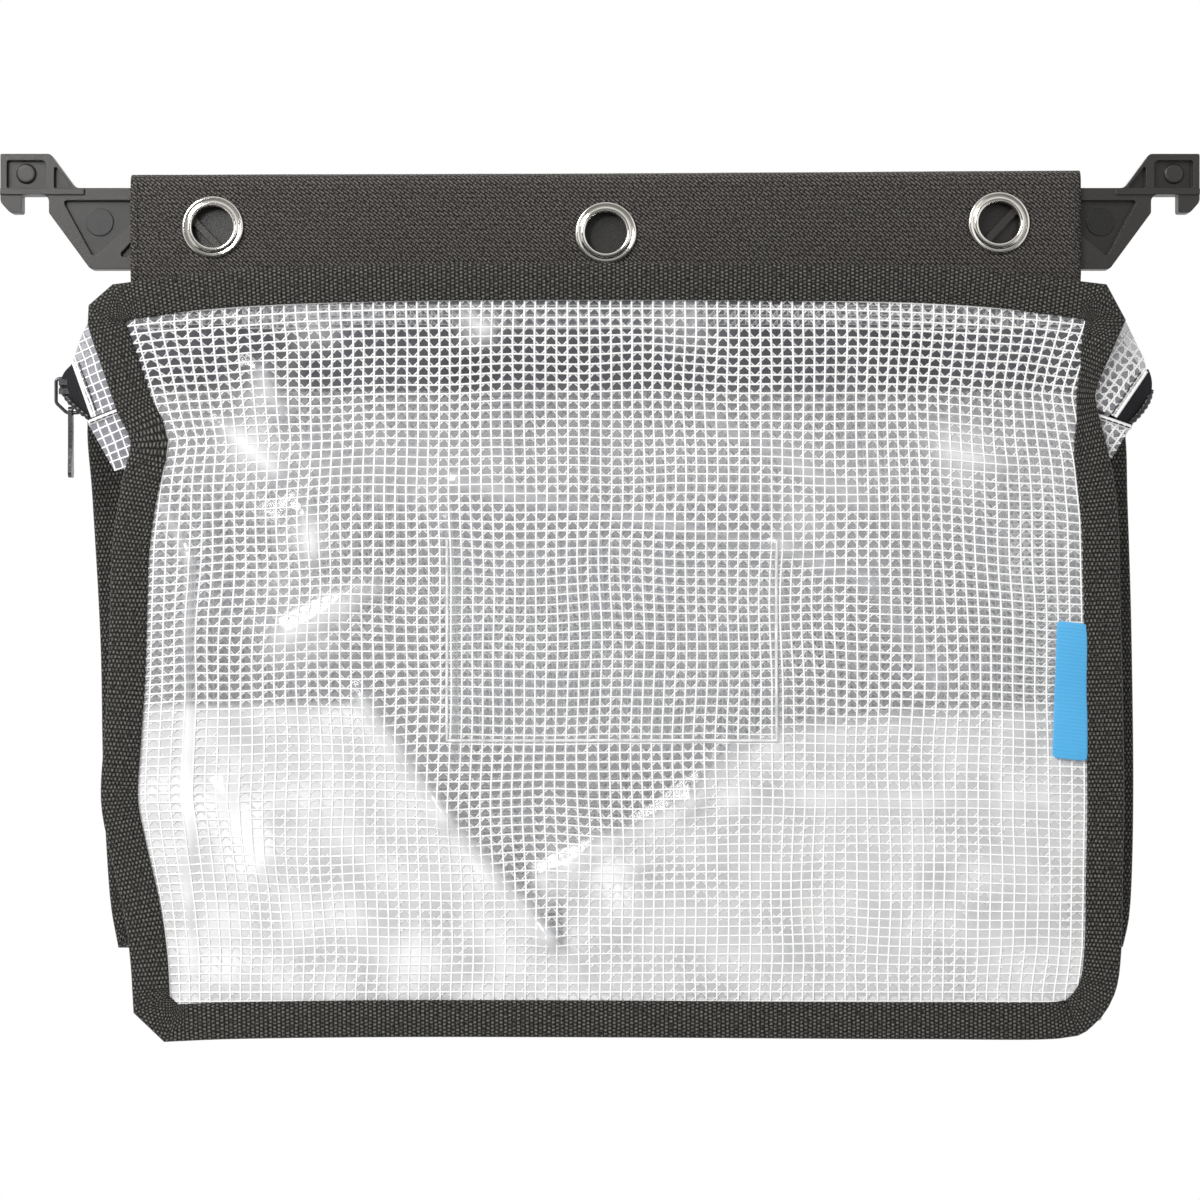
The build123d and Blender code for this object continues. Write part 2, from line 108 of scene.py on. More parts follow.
# The zip's coil in mm: from the middle of the chain to each row, from tooth to
# tooth, and its radius.
COIL_OFFSET = 2.4
COIL_PITCH = 1.9
COIL_RADIUS = 1.17

# Bound edge of the front panel, clockwise from the top left, in mm: X, Z and
# 1 where the tape is folded to a sharp corner.
FRONT_EDGE = (
    (-162.6, -33.6, 1), (-123.5, -28.9, 0), (-66.8, -26.9, 0), (2.7, -26.5, 0),
    (60.0, -26.8, 0), (117.8, -27.8, 0), (169.0, -33.6, 1), (175.4, -45.5, 1),
    (168.6, -61.0, 0), (165.2, -70.5, 0), (167.4, -81.0, 0), (170.6, -94.0, 0),
    (172.9, -112.2, 0), (173.6, -138.9, 0), (174.4, -172.0, 0), (174.9, -205.6, 0),
    (174.4, -232.0, 0), (173.9, -256.0, 0), (171.6, -270.5, 0), (164.5, -280.8, 0),
    (153.0, -285.2, 0), (110.0, -285.4, 0), (66.8, -285.2, 0), (0.0, -284.8, 0),
    (-66.8, -284.7, 0), (-120.0, -285.3, 0), (-145.4, -286.3, 1), (-155.6, -276.6, 1),
    (-156.8, -258.0, 0), (-159.3, -241.0, 0), (-163.6, -222.3, 0), (-166.5, -205.6, 0),
    (-165.4, -185.0, 0), (-164.2, -165.6, 0), (-163.4, -140.0, 0), (-162.6, -120.0, 0),
    (-159.4, -99.0, 0), (-156.6, -86.5, 0), (-161.0, -76.5, 0), (-165.4, -63.5, 0),
    (-170.9, -47.0, 0), (-170.6, -40.6, 1),
)

# Where the binding of the front panel is turned edgeways and looks narrow: X, Z,
# reach in mm and the share of its width that is left.
FRONT_NARROW = ((165.2, -70.5, 13.0, 0.5),)

# Bound edge of the back panel, in the same way.
BACK_EDGE = (
    (-161.6, -38.4, 1), (3.4, -38.4, 0), (168.4, -38.4, 1), (176.5, -58.0, 0),
    (180.4, -81.8, 0), (181.2, -104.5, 0), (182.5, -147.8, 0), (183.2, -204.2, 0),
    (182.2, -243.0, 0), (179.6, -258.0, 1), (3.4, -258.5, 0), (-165.4, -258.3, 1),
    (-168.4, -240.0, 0), (-170.6, -200.7, 0), (-171.6, -152.6, 0), (-174.3, -104.5, 0),
    (-176.0, -77.7, 0), (-171.5, -56.0, 0),
)

# Creases of the front panel in mm: start X, Z, end X, Z, half width, height
# towards the front.
CREASES = (
    (-46.7, -100.2, 61.1, -121.5, 5.0, 1.3),
    (61.1, -121.5, 89.1, -133.2, 5.0, 1.3),
    (89.1, -133.2, 112.5, -165.9, 5.0, 1.2),
    (35.0, -76.8, 100.8, -114.5, 5.0, 1.1),
    (-79.4, -172.3, -51.7, -210.7, 5.5, 3.0),
    (-51.7, -210.7, -17.4, -250.7, 5.5, 3.2),
    (-17.4, -250.7, 0.0, -272.4, 5.0, 2.2),
    (-18.7, -231.4, 30.4, -205.7, 5.0, 2.2),
    (30.4, -205.7, 44.4, -187.0, 5.0, 1.6),
    (44.4, -205.7, 147.5, -205.7, 6.0, 1.4),
    (-146.9, -105.5, -136.9, -125.5, 3.5, 1.6),
    (-136.9, -125.5, -137.5, -262.0, 3.0, 1.5),
    (-44.0, -44.0, -38.0, -49.0, 4.0, 1.4),
    (-114.0, -62.0, -106.0, -76.0, 5.0, 1.8),
    (-124.0, -82.0, -108.0, -96.0, 5.0, 2.0),
    (-98.0, -110.0, -95.0, -124.0, 5.0, 1.8),
    (-103.0, -150.6, -74.8, -135.6, 5.0, 1.8),
    (-124.0, -205.0, -112.0, -226.0, 6.0, 2.4),
    (-8.0, -231.0, 12.0, -228.0, 5.0, 2.0),
    (116.0, -90.0, 134.0, -94.0, 5.0, 1.8),
    (-50.0, -112.0, -48.0, -190.0, 3.0, 0.8),
    (60.0, -118.0, 60.0, -188.0, 3.0, 0.7),
)

# Painted highlights of the front film, milky white patches where its creases would catch the
# light, in mm: X, Z, reach and strength.
PAINTED_HIGHLIGHTS = (
    (-116.5, -88.0, 12.0, 0.5), (-112.0, -68.0, 8.0, 0.4), (-96.0, -48.0, 8.0, 0.4),
    (-97.0, -119.0, 9.0, 0.5), (-104.0, -150.0, 13.0, 0.45), (-88.0, -142.0, 10.0, 0.4),
    (-118.0, -215.0, 14.0, 0.9), (-106.0, -205.0, 9.0, 0.8), (-140.0, -200.0, 8.0, 0.5),
    (0.0, -229.0, 11.0, 0.6), (-12.0, -233.0, 8.0, 0.6), (124.0, -92.0, 10.0, 0.4),
    (112.0, -84.0, 8.0, 0.3), (-40.0, -47.0, 7.0, 0.5), (28.0, -47.0, 9.0, 0.4),
    (70.0, -110.0, 10.0, 0.35), (-60.0, -96.0, 12.0, 0.3), (90.0, -236.0, 14.0, 0.3),
    (140.0, -262.0, 10.0, 0.5), (-128.0, -262.0, 12.0, 0.6),
)

# Film patches of the mouth's ears, as convex outlines in X and Z. The fold
# beside the zip runs between the first two points of the upper patch.
EAR_UPPER = {
    "left": ((-177.4, -58.6), (-170.1, -77.6), (-152.0, -71.0), (-166.0, -40.0),
             (-171.0, -44.2), (-174.9, -51.6)),
    "right": ((183.9, -62.0), (172.6, -77.6), (160.0, -72.5), (170.0, -40.0),
              (176.2, -45.4), (183.2, -58.2)),
}
EAR_LOWER = {
    "left": ((-171.6, -80.0), (-161.4, -97.4), (-152.0, -88.0), (-155.0, -73.6)),
    "right": ((177.6, -81.6), (171.2, -91.6), (162.0, -84.0), (166.0, -77.4)),
}

# Colour of the ears' film, painted grey as painted shade, and darker on the right, away from the
# light.
EAR_FILM = {"left": "#8a8a92", "right": "#707078"}

# Outer line of the zip's end beside each ear: head, handle and foot of a curve.
ZIP_END = {
    "left": ((-177.8, -59.5), (-188.0, -66.7), (-171.9, -77.4)),
    "right": ((184.7, -61.0), (189.4, -69.8), (178.1, -79.6)),
}

# Upper edge of the box corner folded inside the right of the foot: X and Z.
FLAP_TOP = ((-12.0, -233.0), (8.0, -217.5), (30.4, -203.0), (44.4, -187.0), (60.0, -180.0),
            (110.0, -174.5), (162.0, -174.0))
# Inner edge of the one inside the left of the foot: Z and X.
FLAP_SIDE = ((-274.0, 2.0), (-251.0, -17.0), (-210.7, -51.5), (-173.5, -79.0))


def srgb(code):
    """A colour written as sRGB hex, as the linear values that shaders take."""
    values = [int(code[start:start + 2], 16) / 255 for start in (1, 3, 5)]
    return tuple(v / 12.92 if v <= 0.04045 else ((v + 0.055) / 1.055) ** 2.4 for v in values)


def length(name, description, default, low, high):
    """A setting for a length, given in mm."""
    return bpy.props.FloatProperty(name=name, description=description, default=default * MM,
                                   min=low * MM, max=high * MM, unit="LENGTH")


def colour(name, description, code):
    """A setting for a colour."""
    return bpy.props.FloatVectorProperty(name=name, description=description, subtype="COLOR",
                                         size=3, min=0.0, max=1.0, default=srgb(code))


class PouchSettings(bpy.types.PropertyGroup):
    """Sizes and colours of the pouch that a user may change."""

    warp_pitch: length("Warp pitch", "Distance between the net's upright yarns",
                       3.6, 2.0, 12.0)
    weft_pitch: length("Weft pitch", "Distance between the net's level yarns",
                       3.05, 2.0, 12.0)
    yarn_width: length("Yarn width", "Width of the net's flat yarns", 0.8, 0.2, 2.0)
    crease_scale: bpy.props.FloatProperty(
        name="Creases", description="How deep the creases of the front film are",
        default=1.0, min=0.0, max=2.0, subtype="FACTOR")
    binding_width: length("Binding width", "Width of the tape folded round each panel",
                          12.3, 6.0, 16.0)
    binding_colour: colour("Binding", "Colour of the woven binding tape", "#292826")
    header_colour: colour("Header cloth", "Colour of the cloth round the bar", "#2f2d2b")
    bar_colour: colour("Bar", "Colour of the moulded hanger bar", "#2b2825")
    yarn_colour: colour("Net yarn", "Colour of the yarns in the film", "#f7f7f6")
    # The film's grey haze is partly painted shade, dimming what shows through it.
    film_colour: colour("Film", "Haze colour of the clear film", "#93949a")
    label_colour: colour("Label", "Colour of the folded side label", "#47aae0")


def settings():
    """The pouch's settings in this scene."""
    return bpy.context.scene.pouch_settings


# Materials


def add(tree, kind, links=None, out=0, **values):
    """Add a shader node, set its values, join or set the input sockets in links, by
    name or in order, and give back one of its output sockets."""
    made = tree.nodes.new("ShaderNode" + kind)
    for name, value in values.items():
        setattr(made, name, value)
    for socket, source in links.items() if isinstance(links, dict) else enumerate(links or ()):
        if isinstance(source, bpy.types.NodeSocket):
            tree.links.new(source, made.inputs[socket])
        else:
            made.inputs[socket].default_value = source
    return made.outputs[out] if made.outputs else None


def surface(look):
    """Turn a function that gives a shader's sockets into one that gives the material
    of its name and use, which is made only once."""
    @wraps(look)
    def material(use="", **choice):
        name = f"{look.__name__}_{use}" if use else look.__name__
        made = bpy.data.materials.get(name)
        if made is None:
            made = bpy.data.materials.new(name)
            made.use_nodes = True
            tree = made.node_tree
            tree.nodes.clear()
            shader = add(tree, "BsdfPrincipled", look(tree, **choice))
            add(tree, "OutputMaterial", {"Surface": shader})
        return made
    return material


def per_mm(size):
    """Scale of a pattern whose cells are this many millimetres."""
    return 1 / (size * MM)


def tinted(tree, colour, amount, low, high):
    """A colour scaled between two strengths by an amount from 0 to 1."""
    strength = add(tree, "MapRange", (amount, 0.0, 1.0, low, high))
    grey = add(tree, "CombineColor", (strength, strength, strength))
    return add(tree, "Mix", {0: 1.0, 6: (*colour, 1.0), 7: grey}, 2,
               data_type="RGBA", blend_type="MULTIPLY")


def mottled(tree, colour, size, low, high, relief, detail=3.0):
    """Noise with grains of this many mm, and the colour and normal that it gives a
    shader, with this relief in mm."""
    grain = add(tree, "TexNoise", {"Vector": add(tree, "TexCoord", out="Object"),
                                   "Scale": per_mm(size), "Detail": detail}, "Fac")
    return grain, {"Base Color": tinted(tree, colour, grain, low, high),
                   "Normal": add(tree, "Bump", {"Height": grain, "Distance": relief * MM})}


def weave(tree, coords, across, along):
    """Height of a plain weave with these thread spacings in mm, from 0 to 1."""
    cell = add(tree, "Mapping", {"Vector": coords, "Scale": (per_mm(across), per_mm(along), 1)})
    warp, weft = (add(tree, "TexWave", {"Vector": cell, "Scale": math.pi / 10}, "Fac",
                      bands_direction=way) for way in "XY")
    over = add(tree, "TexChecker", {"Vector": cell, "Scale": 1.0}, "Fac")
    crest = add(tree, "Math", (warp, weft), operation="MULTIPLY")
    side = add(tree, "Mix", {0: over, 2: warp, 3: weft})
    return add(tree, "Mix", {0: 0.5, 2: side, 3: crest})


def floats(tree, coords, wide, tall, turn, gap):
    """Height of staggered yarn floats this wide and tall in mm, from 0 to 1, turned
    by an angle in degrees; gap is the share of a row that lies between them."""
    row = 0.25
    cell = add(tree, "Mapping", {
        "Vector": coords, "Rotation": (0, 0, math.radians(turn)),
        "Scale": (row * per_mm(tall), row * per_mm(tall), 1)})
    gaps = add(tree, "TexBrick", {
        "Vector": cell, "Scale": 1.0, "Mortar Size": row * gap, "Mortar Smooth": 1.0,
        "Brick Width": row * wide / tall, "Row Height": row}, "Fac")
    return add(tree, "Math", (1.0, gaps), operation="SUBTRACT")


def painted_glints(tree, coords, height, low, high):
    """A cloth's height, lit unevenly as single yarns catch the light, which sets
    how much painted glint and painted shade its colour gets.
    """
    fibre = add(tree, "TexNoise", {"Vector": coords, "Scale": per_mm(0.9)}, "Fac")
    light = add(tree, "MapRange", (fibre, 0.3, 0.7, low, high))
    return add(tree, "Math", (height, light), operation="MULTIPLY")


@surface
def moulded_polypropylene(tree):
    """Moulded polypropylene: a spark-eroded mould leaves a fine grain and soft
    highlights, and edges are rounded. Its colour holds painted shade, darker deep
    in the recesses near the bar's middle plane and lighter on the faces that stand
    out, and the discs of polished ejector pins are painted dark as a dim reflection."""
    coords = add(tree, "TexCoord", out="Object")
    grain = add(tree, "TexNoise", {"Vector": coords, "Scale": per_mm(0.4)}, "Fac")
    flow = add(tree, "TexNoise", {
        "Vector": coords, "Scale": per_mm(16.0), "Detail": 3.0}, "Fac")
    x, y, z = add(tree, "SeparateXYZ", (coords,)).node.outputs
    depth, across = (add(tree, "Math", (part,), operation="ABSOLUTE") for part in (y, x))
    flat = add(tree, "CombineXYZ", {"X": across, "Z": z})
    from_pin = add(tree, "VectorMath", (flat, (171.7 * MM, 0, -9.2 * MM)), "Value",
                   operation="DISTANCE")
    # Painted shade: darker the deeper a face lies in the bar's recesses.
    recess_shade = add(tree, "MapRange", (depth, 0.8 * MM, 2.6 * MM, 0.5, 1.25))
    # Painted dim reflection: the polished ejector-pin discs are darkened.
    pin_disc_shade = add(tree, "MapRange", (from_pin, 4.3 * MM, 5.0 * MM, 0.4, 1.0))
    streaks = add(tree, "MapRange", (flow, 0.0, 1.0, 0.75, 1.25))
    shade = add(tree, "Math", (recess_shade, pin_disc_shade), operation="MULTIPLY")
    shade = add(tree, "Math", (shade, streaks), operation="MULTIPLY")
    edge = add(tree, "Bevel", {"Radius": 0.45 * MM}, samples=4)
    return {
        "Base Color": tinted(tree, settings().bar_colour, shade, 0.0, 1.0),
        "Roughness": add(tree, "MapRange", (grain, 0.0, 1.0, 0.3, 0.45)),
        "IOR": 1.49, "Specular IOR Level": 0.5,
        "Normal": add(tree, "Bump", {"Height": grain, "Distance": 0.1 * MM, "Normal": edge})}


@surface
def woven_polyester(tree):
    """Woven 600 denier polyester: a close weave, drawn a little coarser than it
    is so that it shows, whose dull floats line up in slanting rows. Its colour
    holds painted glints on the floats' tops and painted shade between them."""
    coords = add(tree, "UVMap", uv_map="cloth")
    height = floats(tree, coords, 2.6, 0.95, -36, 0.34)
    lit = painted_glints(tree, coords, height, 0.15, 1.35)
    # Painted light: the header's colour is raised many times on lit float tops and dimmed in the
    # gaps.
    return {"Base Color": tinted(tree, settings().header_colour, lit, 0.06, 4.9),
            "Roughness": 0.6, "IOR": 1.55, "Specular IOR Level": 0.12,
            "Normal": add(tree, "Bump", {"Height": height, "Distance": 0.25 * MM})}


@surface
def woven_webbing(tree):
    """Woven polypropylene binding tape: cross ribs of short floats on near black,
    with small bright painted glints on their tops and painted shade between them."""
    coords = add(tree, "UVMap", uv_map="cloth")
    height = floats(tree, coords, 1.25, 1.45, 0, 0.36)
    lit = painted_glints(tree, coords, height, 0.0, 1.5)
    # Painted light: the binding's colour is raised up to eight times on float tops as painted
    # glints, and dimmed between them.
    return {"Base Color": tinted(tree, settings().binding_colour, lit, 0.2, 8.0),
            "Roughness": 0.45, "IOR": 1.49, "Specular IOR Level": 0.15,
            "Normal": add(tree, "Bump", {"Height": height, "Distance": 0.5 * MM})}


@surface
def calendered_film(tree, haze=(0.2, 0.32), colour=None):
    """Calendered clear vinyl: smooth and glossy, with a slight haze whose grey is
    partly painted shade over what shows through it, a faint unevenness that makes
    its highlights waver, and milky white over folded layers, with painted
    highlights along its creases and in patches where they would catch the light."""
    coords = add(tree, "TexCoord", out="Object")
    cloud, waver = (add(tree, "TexNoise", {
        "Vector": coords, "Scale": per_mm(size), "Detail": 3.0}, "Fac") for size in (30.0, 9.0))
    milk_and_glare = add(tree, "Attribute", out="Fac", attribute_name="milk_and_glare")
    tone = srgb(colour) if colour else settings().film_colour
    clear = tinted(tree, tone, cloud, 0.85, 1.15)
    cover = add(tree, "MapRange", (cloud, 0.3, 0.7, *haze))
    return {
        # Painted highlights: the film turns white and dense where its milk attribute carries
        # them.
        "Base Color": add(tree, "Mix", {0: milk_and_glare, 6: clear, 7: (1, 1, 1, 1)}, 2,
                          data_type="RGBA"),
        "Roughness": 0.14, "IOR": 1.53, "Specular IOR Level": 0.6,
        "Alpha": add(tree, "Mix", {0: milk_and_glare, 2: cover, 3: 0.9}),
        "Coat Weight": 0.8, "Coat Roughness": 0.06,
        "Normal": add(tree, "Bump", {"Height": waver, "Distance": 0.35 * MM})}


def shaded_back_film():
    """The back panel's film, painted greyer and denser as painted shade inside the pouch."""
    return calendered_film("back", haze=(0.74, 0.88), colour="#86878c")


def creased_film():
    """Film folded on itself in the foot's corners, milky from its many creases."""
    return calendered_film("creased", haze=(0.78, 0.92), colour="#fbfbfb")


@surface
def polyester_net(tree):
    """Warp-knitted polyester net laminated in the film: bright white filament
    with a soft gloss from the film over it."""
    return {**mottled(tree, settings().yarn_colour, 0.5, 0.86, 1.06, 0.05, 2.0)[1],
            "Roughness": 0.4, "IOR": 1.57, "Coat Weight": 0.6, "Coat Roughness": 0.1}


@surface
def clear_pocket_film(tree):
    """Thin cast clear vinyl: clearer and glossier than the netted film."""
    waver, sockets = mottled(tree, srgb("#d8dadd"), 16.0, 0.9, 1.05, 0.8)
    return {**sockets, "Roughness": 0.1, "IOR": 1.53, "Coat Weight": 1.0,
            "Coat Roughness": 0.05,
            "Alpha": add(tree, "MapRange", (waver, 0.0, 1.0, 0.03, 0.08))}


@surface
def welded_film(tree):
    """Clear vinyl pressed white and dense along a heat-sealed line."""
    waver, sockets = mottled(tree, srgb("#fafafa"), 9.0, 0.9, 1.05, 0.4)
    return {**sockets, "Roughness": 0.2, "IOR": 1.53, "Coat Weight": 1.0,
            "Coat Roughness": 0.05,
            "Alpha": add(tree, "MapRange", (waver, 0.35, 0.65, 0.25, 0.95))}


@surface
def zip_tape_cloth(tree):
    """Woven polyester zip tape: a fine close weave that reads as matt black,
    painted lighter on its threads' crests and darker between them as painted shade.
    """
    height = weave(tree, add(tree, "UVMap", uv_map="cloth"), 0.8, 0.5)
    # Painted shade: darker in the weave's valleys, lighter on its crests.
    return {"Base Color": tinted(tree, srgb("#232125"), height, 0.5, 1.6),
            "Roughness": 0.7, "IOR": 1.55, "Specular IOR Level": 0.15,
            "Normal": add(tree, "Bump", {"Height": height, "Distance": 0.15 * MM})}


@surface
def moulded_nylon(tree):
    """Nylon monofilament, drawn and wound to a coil: smooth black with small
    highlights."""
    return {**mottled(tree, srgb("#1d1c1e"), 0.8, 0.8, 1.3, 0.04, 2.0)[1],
            "Roughness": 0.35, "IOR": 1.53}


@surface
def enamelled_zinc(tree):
    """Die-cast zinc with baked black enamel: rounded and glossy, with the faint
    orange peel of its coat."""
    peel, sockets = mottled(tree, srgb("#26252a"), 1.2, 0.8, 1.3, 0.05)
    return {**sockets, "Roughness": add(tree, "MapRange", (peel, 0.0, 1.0, 0.2, 0.36)),
            "IOR": 1.5, "Coat Weight": 0.6, "Coat Roughness": 0.1}


@surface
def plated_nickel(tree):
    """Nickel-plated pressed brass: mirror bright, with handling marks that soften
    parts of the rim."""
    handled, sockets = mottled(tree, srgb("#dedbd4"), 2.5, 0.85, 1.02, 0.01)
    return {**sockets, "Metallic": 1.0,
            "Roughness": add(tree, "MapRange", (handled, 0.0, 1.0, 0.05, 0.18))}


@surface
def satin_label(tree):
    """Woven satin label tape: long floats give a smooth directional sheen; its
    colour is painted a little lighter on their crests and darker between them, as
    painted shade.
    """
    height = weave(tree, add(tree, "UVMap", uv_map="cloth"), 0.3, 1.2)
    # Painted shade: a little darker in the weave's valleys.
    return {"Base Color": tinted(tree, settings().label_colour, height, 0.88, 1.1),
            "Roughness": 0.45, "IOR": 1.55, "Sheen Weight": 0.2, "Anisotropic": 0.4,
            "Normal": add(tree, "Bump", {"Height": height, "Distance": 0.05 * MM})}


@surface
def black_thread(tree):
    """Twisted polyester sewing thread, a soft matt line."""
    return {**mottled(tree, srgb("#2c2a2b"), 0.4, 0.8, 1.2, 0.05, 2.0)[1],
            "Roughness": 0.6, "IOR": 1.55}


@surface
def painted_board(tree):
    """Matt painted board: an even pale floor with a barely visible roller grain."""
    grain = add(tree, "TexNoise", {"Vector": add(tree, "TexCoord", out="Object"),
                                   "Scale": per_mm(3.0), "Detail": 3.0}, "Fac")
    return {"Base Color": tinted(tree, srgb("#f2f2f2"), grain, 0.97, 1.0), "Roughness": 0.8}


# Mesh helpers


def grid_object(name, points, material, across=None, along=None, ring=False):
    """A mesh of quads over a grid of points in mm, with a cloth map in metres from
    its lengths across and along. ring joins the last column to the first."""
    points = np.asarray(points, float)
    rows, columns = points.shape[:2]
    cells = columns if ring else columns - 1
    r, c = np.meshgrid(np.arange(rows - 1), np.arange(cells), indexing="ij")
    corners = [(r, c), (r, c + 1), (r + 1, c + 1), (r + 1, c)]
    faces = np.stack([a * columns + b % columns for a, b in corners], -1).reshape(-1, 4)
    mesh = bpy.data.meshes.new(name)
    mesh.from_pydata((points.reshape(-1, 3) * MM).tolist(), [], faces.tolist())
    across, along = np.meshgrid(np.arange(cells + 1.0) if across is None else across,
                                np.arange(float(rows)) if along is None else along)
    layer = mesh.uv_layers.new(name="cloth")
    uv = np.stack([np.stack([across[a, b], along[a, b]], -1) for a, b in corners], 2)
    layer.data.foreach_set("uv", uv.ravel() * MM)
    return finish_object(name, mesh, material)


def finish_object(name, mesh, material):
    """Link a mesh as a smooth object with its material."""
    mesh.update()
    made = bpy.data.objects.new(name, mesh)
    bpy.context.scene.collection.objects.link(made)
    mesh.materials.append(material)
    mesh.polygons.foreach_set("use_smooth", [True] * len(mesh.polygons))
    return made


def pick(made):
    """Make this the only selected object, and the active one."""
    bpy.ops.object.select_all(action="DESELECT")
    made.select_set(True)
    bpy.context.view_layer.objects.active = made


def thicken(made, thickness, rounds=0):
    """Give a sheet its thickness in mm, half to each side, and soften it if rounds
    are asked for."""
    solid = made.modifiers.new("wall", "SOLIDIFY")
    solid.thickness = thickness * MM
    solid.offset = 0.0
    solid.use_even_offset = False
    if rounds:
        smooth = made.modifiers.new("soften", "SUBSURF")
        smooth.levels = rounds
        smooth.render_levels = rounds
    pick(made)
    for modifier in list(made.modifiers):
        bpy.ops.object.modifier_apply(modifier=modifier.name)


def trim(made, outline):
    """Cut a piece to a convex outline in X and Z, in mm, by upright planes."""
    middle = np.mean(outline, axis=0)
    edit = bmesh.new()
    edit.from_mesh(made.data)
    for index, here in enumerate(outline):
        after = outline[(index + 1) % len(outline)]
        normal = np.array((after[1] - here[1], here[0] - after[0]), float)
        if normal @ (middle - np.array(here)) > 0:
            normal = -normal
        bmesh.ops.bisect_plane(edit, geom=[*edit.verts, *edit.edges, *edit.faces], dist=1e-7,
                               plane_co=(here[0] * MM, 0, here[1] * MM),
                               plane_no=(normal[0], 0, normal[1]), clear_outer=True)
    edit.to_mesh(made.data)
    edit.free()
    made.data.update()


def face_out(made, outwards):
    """Turn an open sheet so that its faces look along this direction."""
    total = Vector((0, 0, 0))
    for polygon in made.data.polygons:
        total += polygon.normal * polygon.area
    if total.dot(Vector(outwards)) < 0:
        made.data.flip_normals()


def close_up(made, ends=False):
    """Merge doubles, fill open ends if asked, and point a shell's faces outwards."""
    pick(made)
    bpy.ops.object.mode_set(mode="EDIT")
    bpy.ops.mesh.select_all(action="SELECT")
    bpy.ops.mesh.remove_doubles(threshold=1e-6)
    if ends:
        bpy.ops.mesh.select_all(action="DESELECT")
        bpy.ops.mesh.select_non_manifold()
        bpy.ops.mesh.edge_face_add()
        bpy.ops.mesh.select_all(action="SELECT")
    bpy.ops.mesh.normals_make_consistent(inside=False)
    bpy.ops.object.mode_set(mode="OBJECT")


def smooth_path(marks, step):
    """A closed line through marks of X, Z and sharp, sampled about every step."""
    path = []
    count = len(marks)
    for index, (x, z, sharp) in enumerate(marks):
        before, here = np.array(marks[index - 1][:2]), np.array((x, z))
        after = np.array(marks[(index + 1) % count][:2])
        beyond = np.array(marks[(index + 2) % count][:2])
        leave = after - here if sharp else (after - before) / 2
        arrive = after - here if marks[(index + 1) % count][2] else (beyond - here) / 2
        pieces = max(1, round(float(np.linalg.norm(after - here)) / step))
        for part in range(pieces):
            t = part / pieces
            point = ((2 * t**3 - 3 * t**2 + 1) * here + (t**3 - 2 * t**2 + t) * leave
                     + (3 * t**2 - 2 * t**3) * after + (t**3 - t**2) * arrive)
            path.append((point[0], point[1], bool(sharp) and part == 0))
    return path


def smooth_noise(x, z, size, seed):
    """Even noise over a plane in mm, from -1 to 1."""
    flat = [noise.noise(Vector((a / size, b / size, seed)))
            for a, b in zip(x.ravel(), z.ravel())]
    return np.array(flat).reshape(x.shape) * 1.6


def side_lines(marks, left_range, right_range):
    """Left and right edges as arrays of Z and X, for reading X at a height."""
    lines = []
    for low, high in (left_range, right_range):
        run = [marks[i % len(marks)] for i in range(low, high + 1)]
        run.sort(key=lambda mark: mark[1])
        lines.append((np.array([m[1] for m in run]), np.array([m[0] for m in run])))
    return lines


FRONT_LEFT, FRONT_RIGHT = side_lines(FRONT_EDGE, (27, 41), (7, 18))
BACK_LEFT, BACK_RIGHT = side_lines(BACK_EDGE, (11, 17), (3, 9))


def read_off(marks, value):
    """Second measure of a line of marks where its first has this value."""
    return np.interp(value, *np.array(marks).T)


def front_x(u, z):
    """X across the front film at a height. The net stays straight in the middle
    and bends with the bound edge near each side."""
    low, high = FILM_SPAN
    left = np.interp(z, *FRONT_LEFT) + FILM_INSET[0]
    right = np.interp(z, *FRONT_RIGHT) - FILM_INSET[1]
    flat = (high - low) * u
    drawn = (left - low) * np.exp(-flat / 34.0) * (1 - u)
    drawn = drawn + (right - high) * np.exp((flat + low - high) / 34.0) * u
    return low + flat + drawn


def front_z(v, x):
    """Height down the front film, from its top edge to its bottom."""
    reach = np.abs(x - POUCH_SHIFT) / PANEL_HALF
    top = -32.4 - 6.6 * reach**3.2
    return top + (FILM_FOOT - top) * v


def edge_fade(x, z, margin):
    """0 on the front panel's binding and 1 from a margin inside it."""
    left = x - np.interp(z, *FRONT_LEFT) - BOUND
    right = np.interp(z, *FRONT_RIGHT) - BOUND - x
    top = -39.0 - z
    bottom = z + 273.0
    near = np.minimum(np.minimum(left, right), np.minimum(top, bottom))
    t = np.clip(near / margin, 0, 1)
    return t * t * (3 - 2 * t)


def front_relief(x, z):
    """How far the front film stands forward of its plane, in mm."""
    relief = 1.6 * smooth_noise(x, z, 62.0, 4.2) + 0.55 * smooth_noise(x, z, 21.0, 9.1)
    belly = np.sin(np.clip((-z - 40) / 235, 0, 1) * math.pi) * 1.6
    relief = relief + belly
    for x0, z0, x1, z1, width, height in CREASES:
        gap = line_gap(x, z, (x0, z0), (x1, z1))
        relief = relief + height * settings().crease_scale * np.exp(-((gap / width) ** 2))
    return relief * edge_fade(x, z, 22.0)


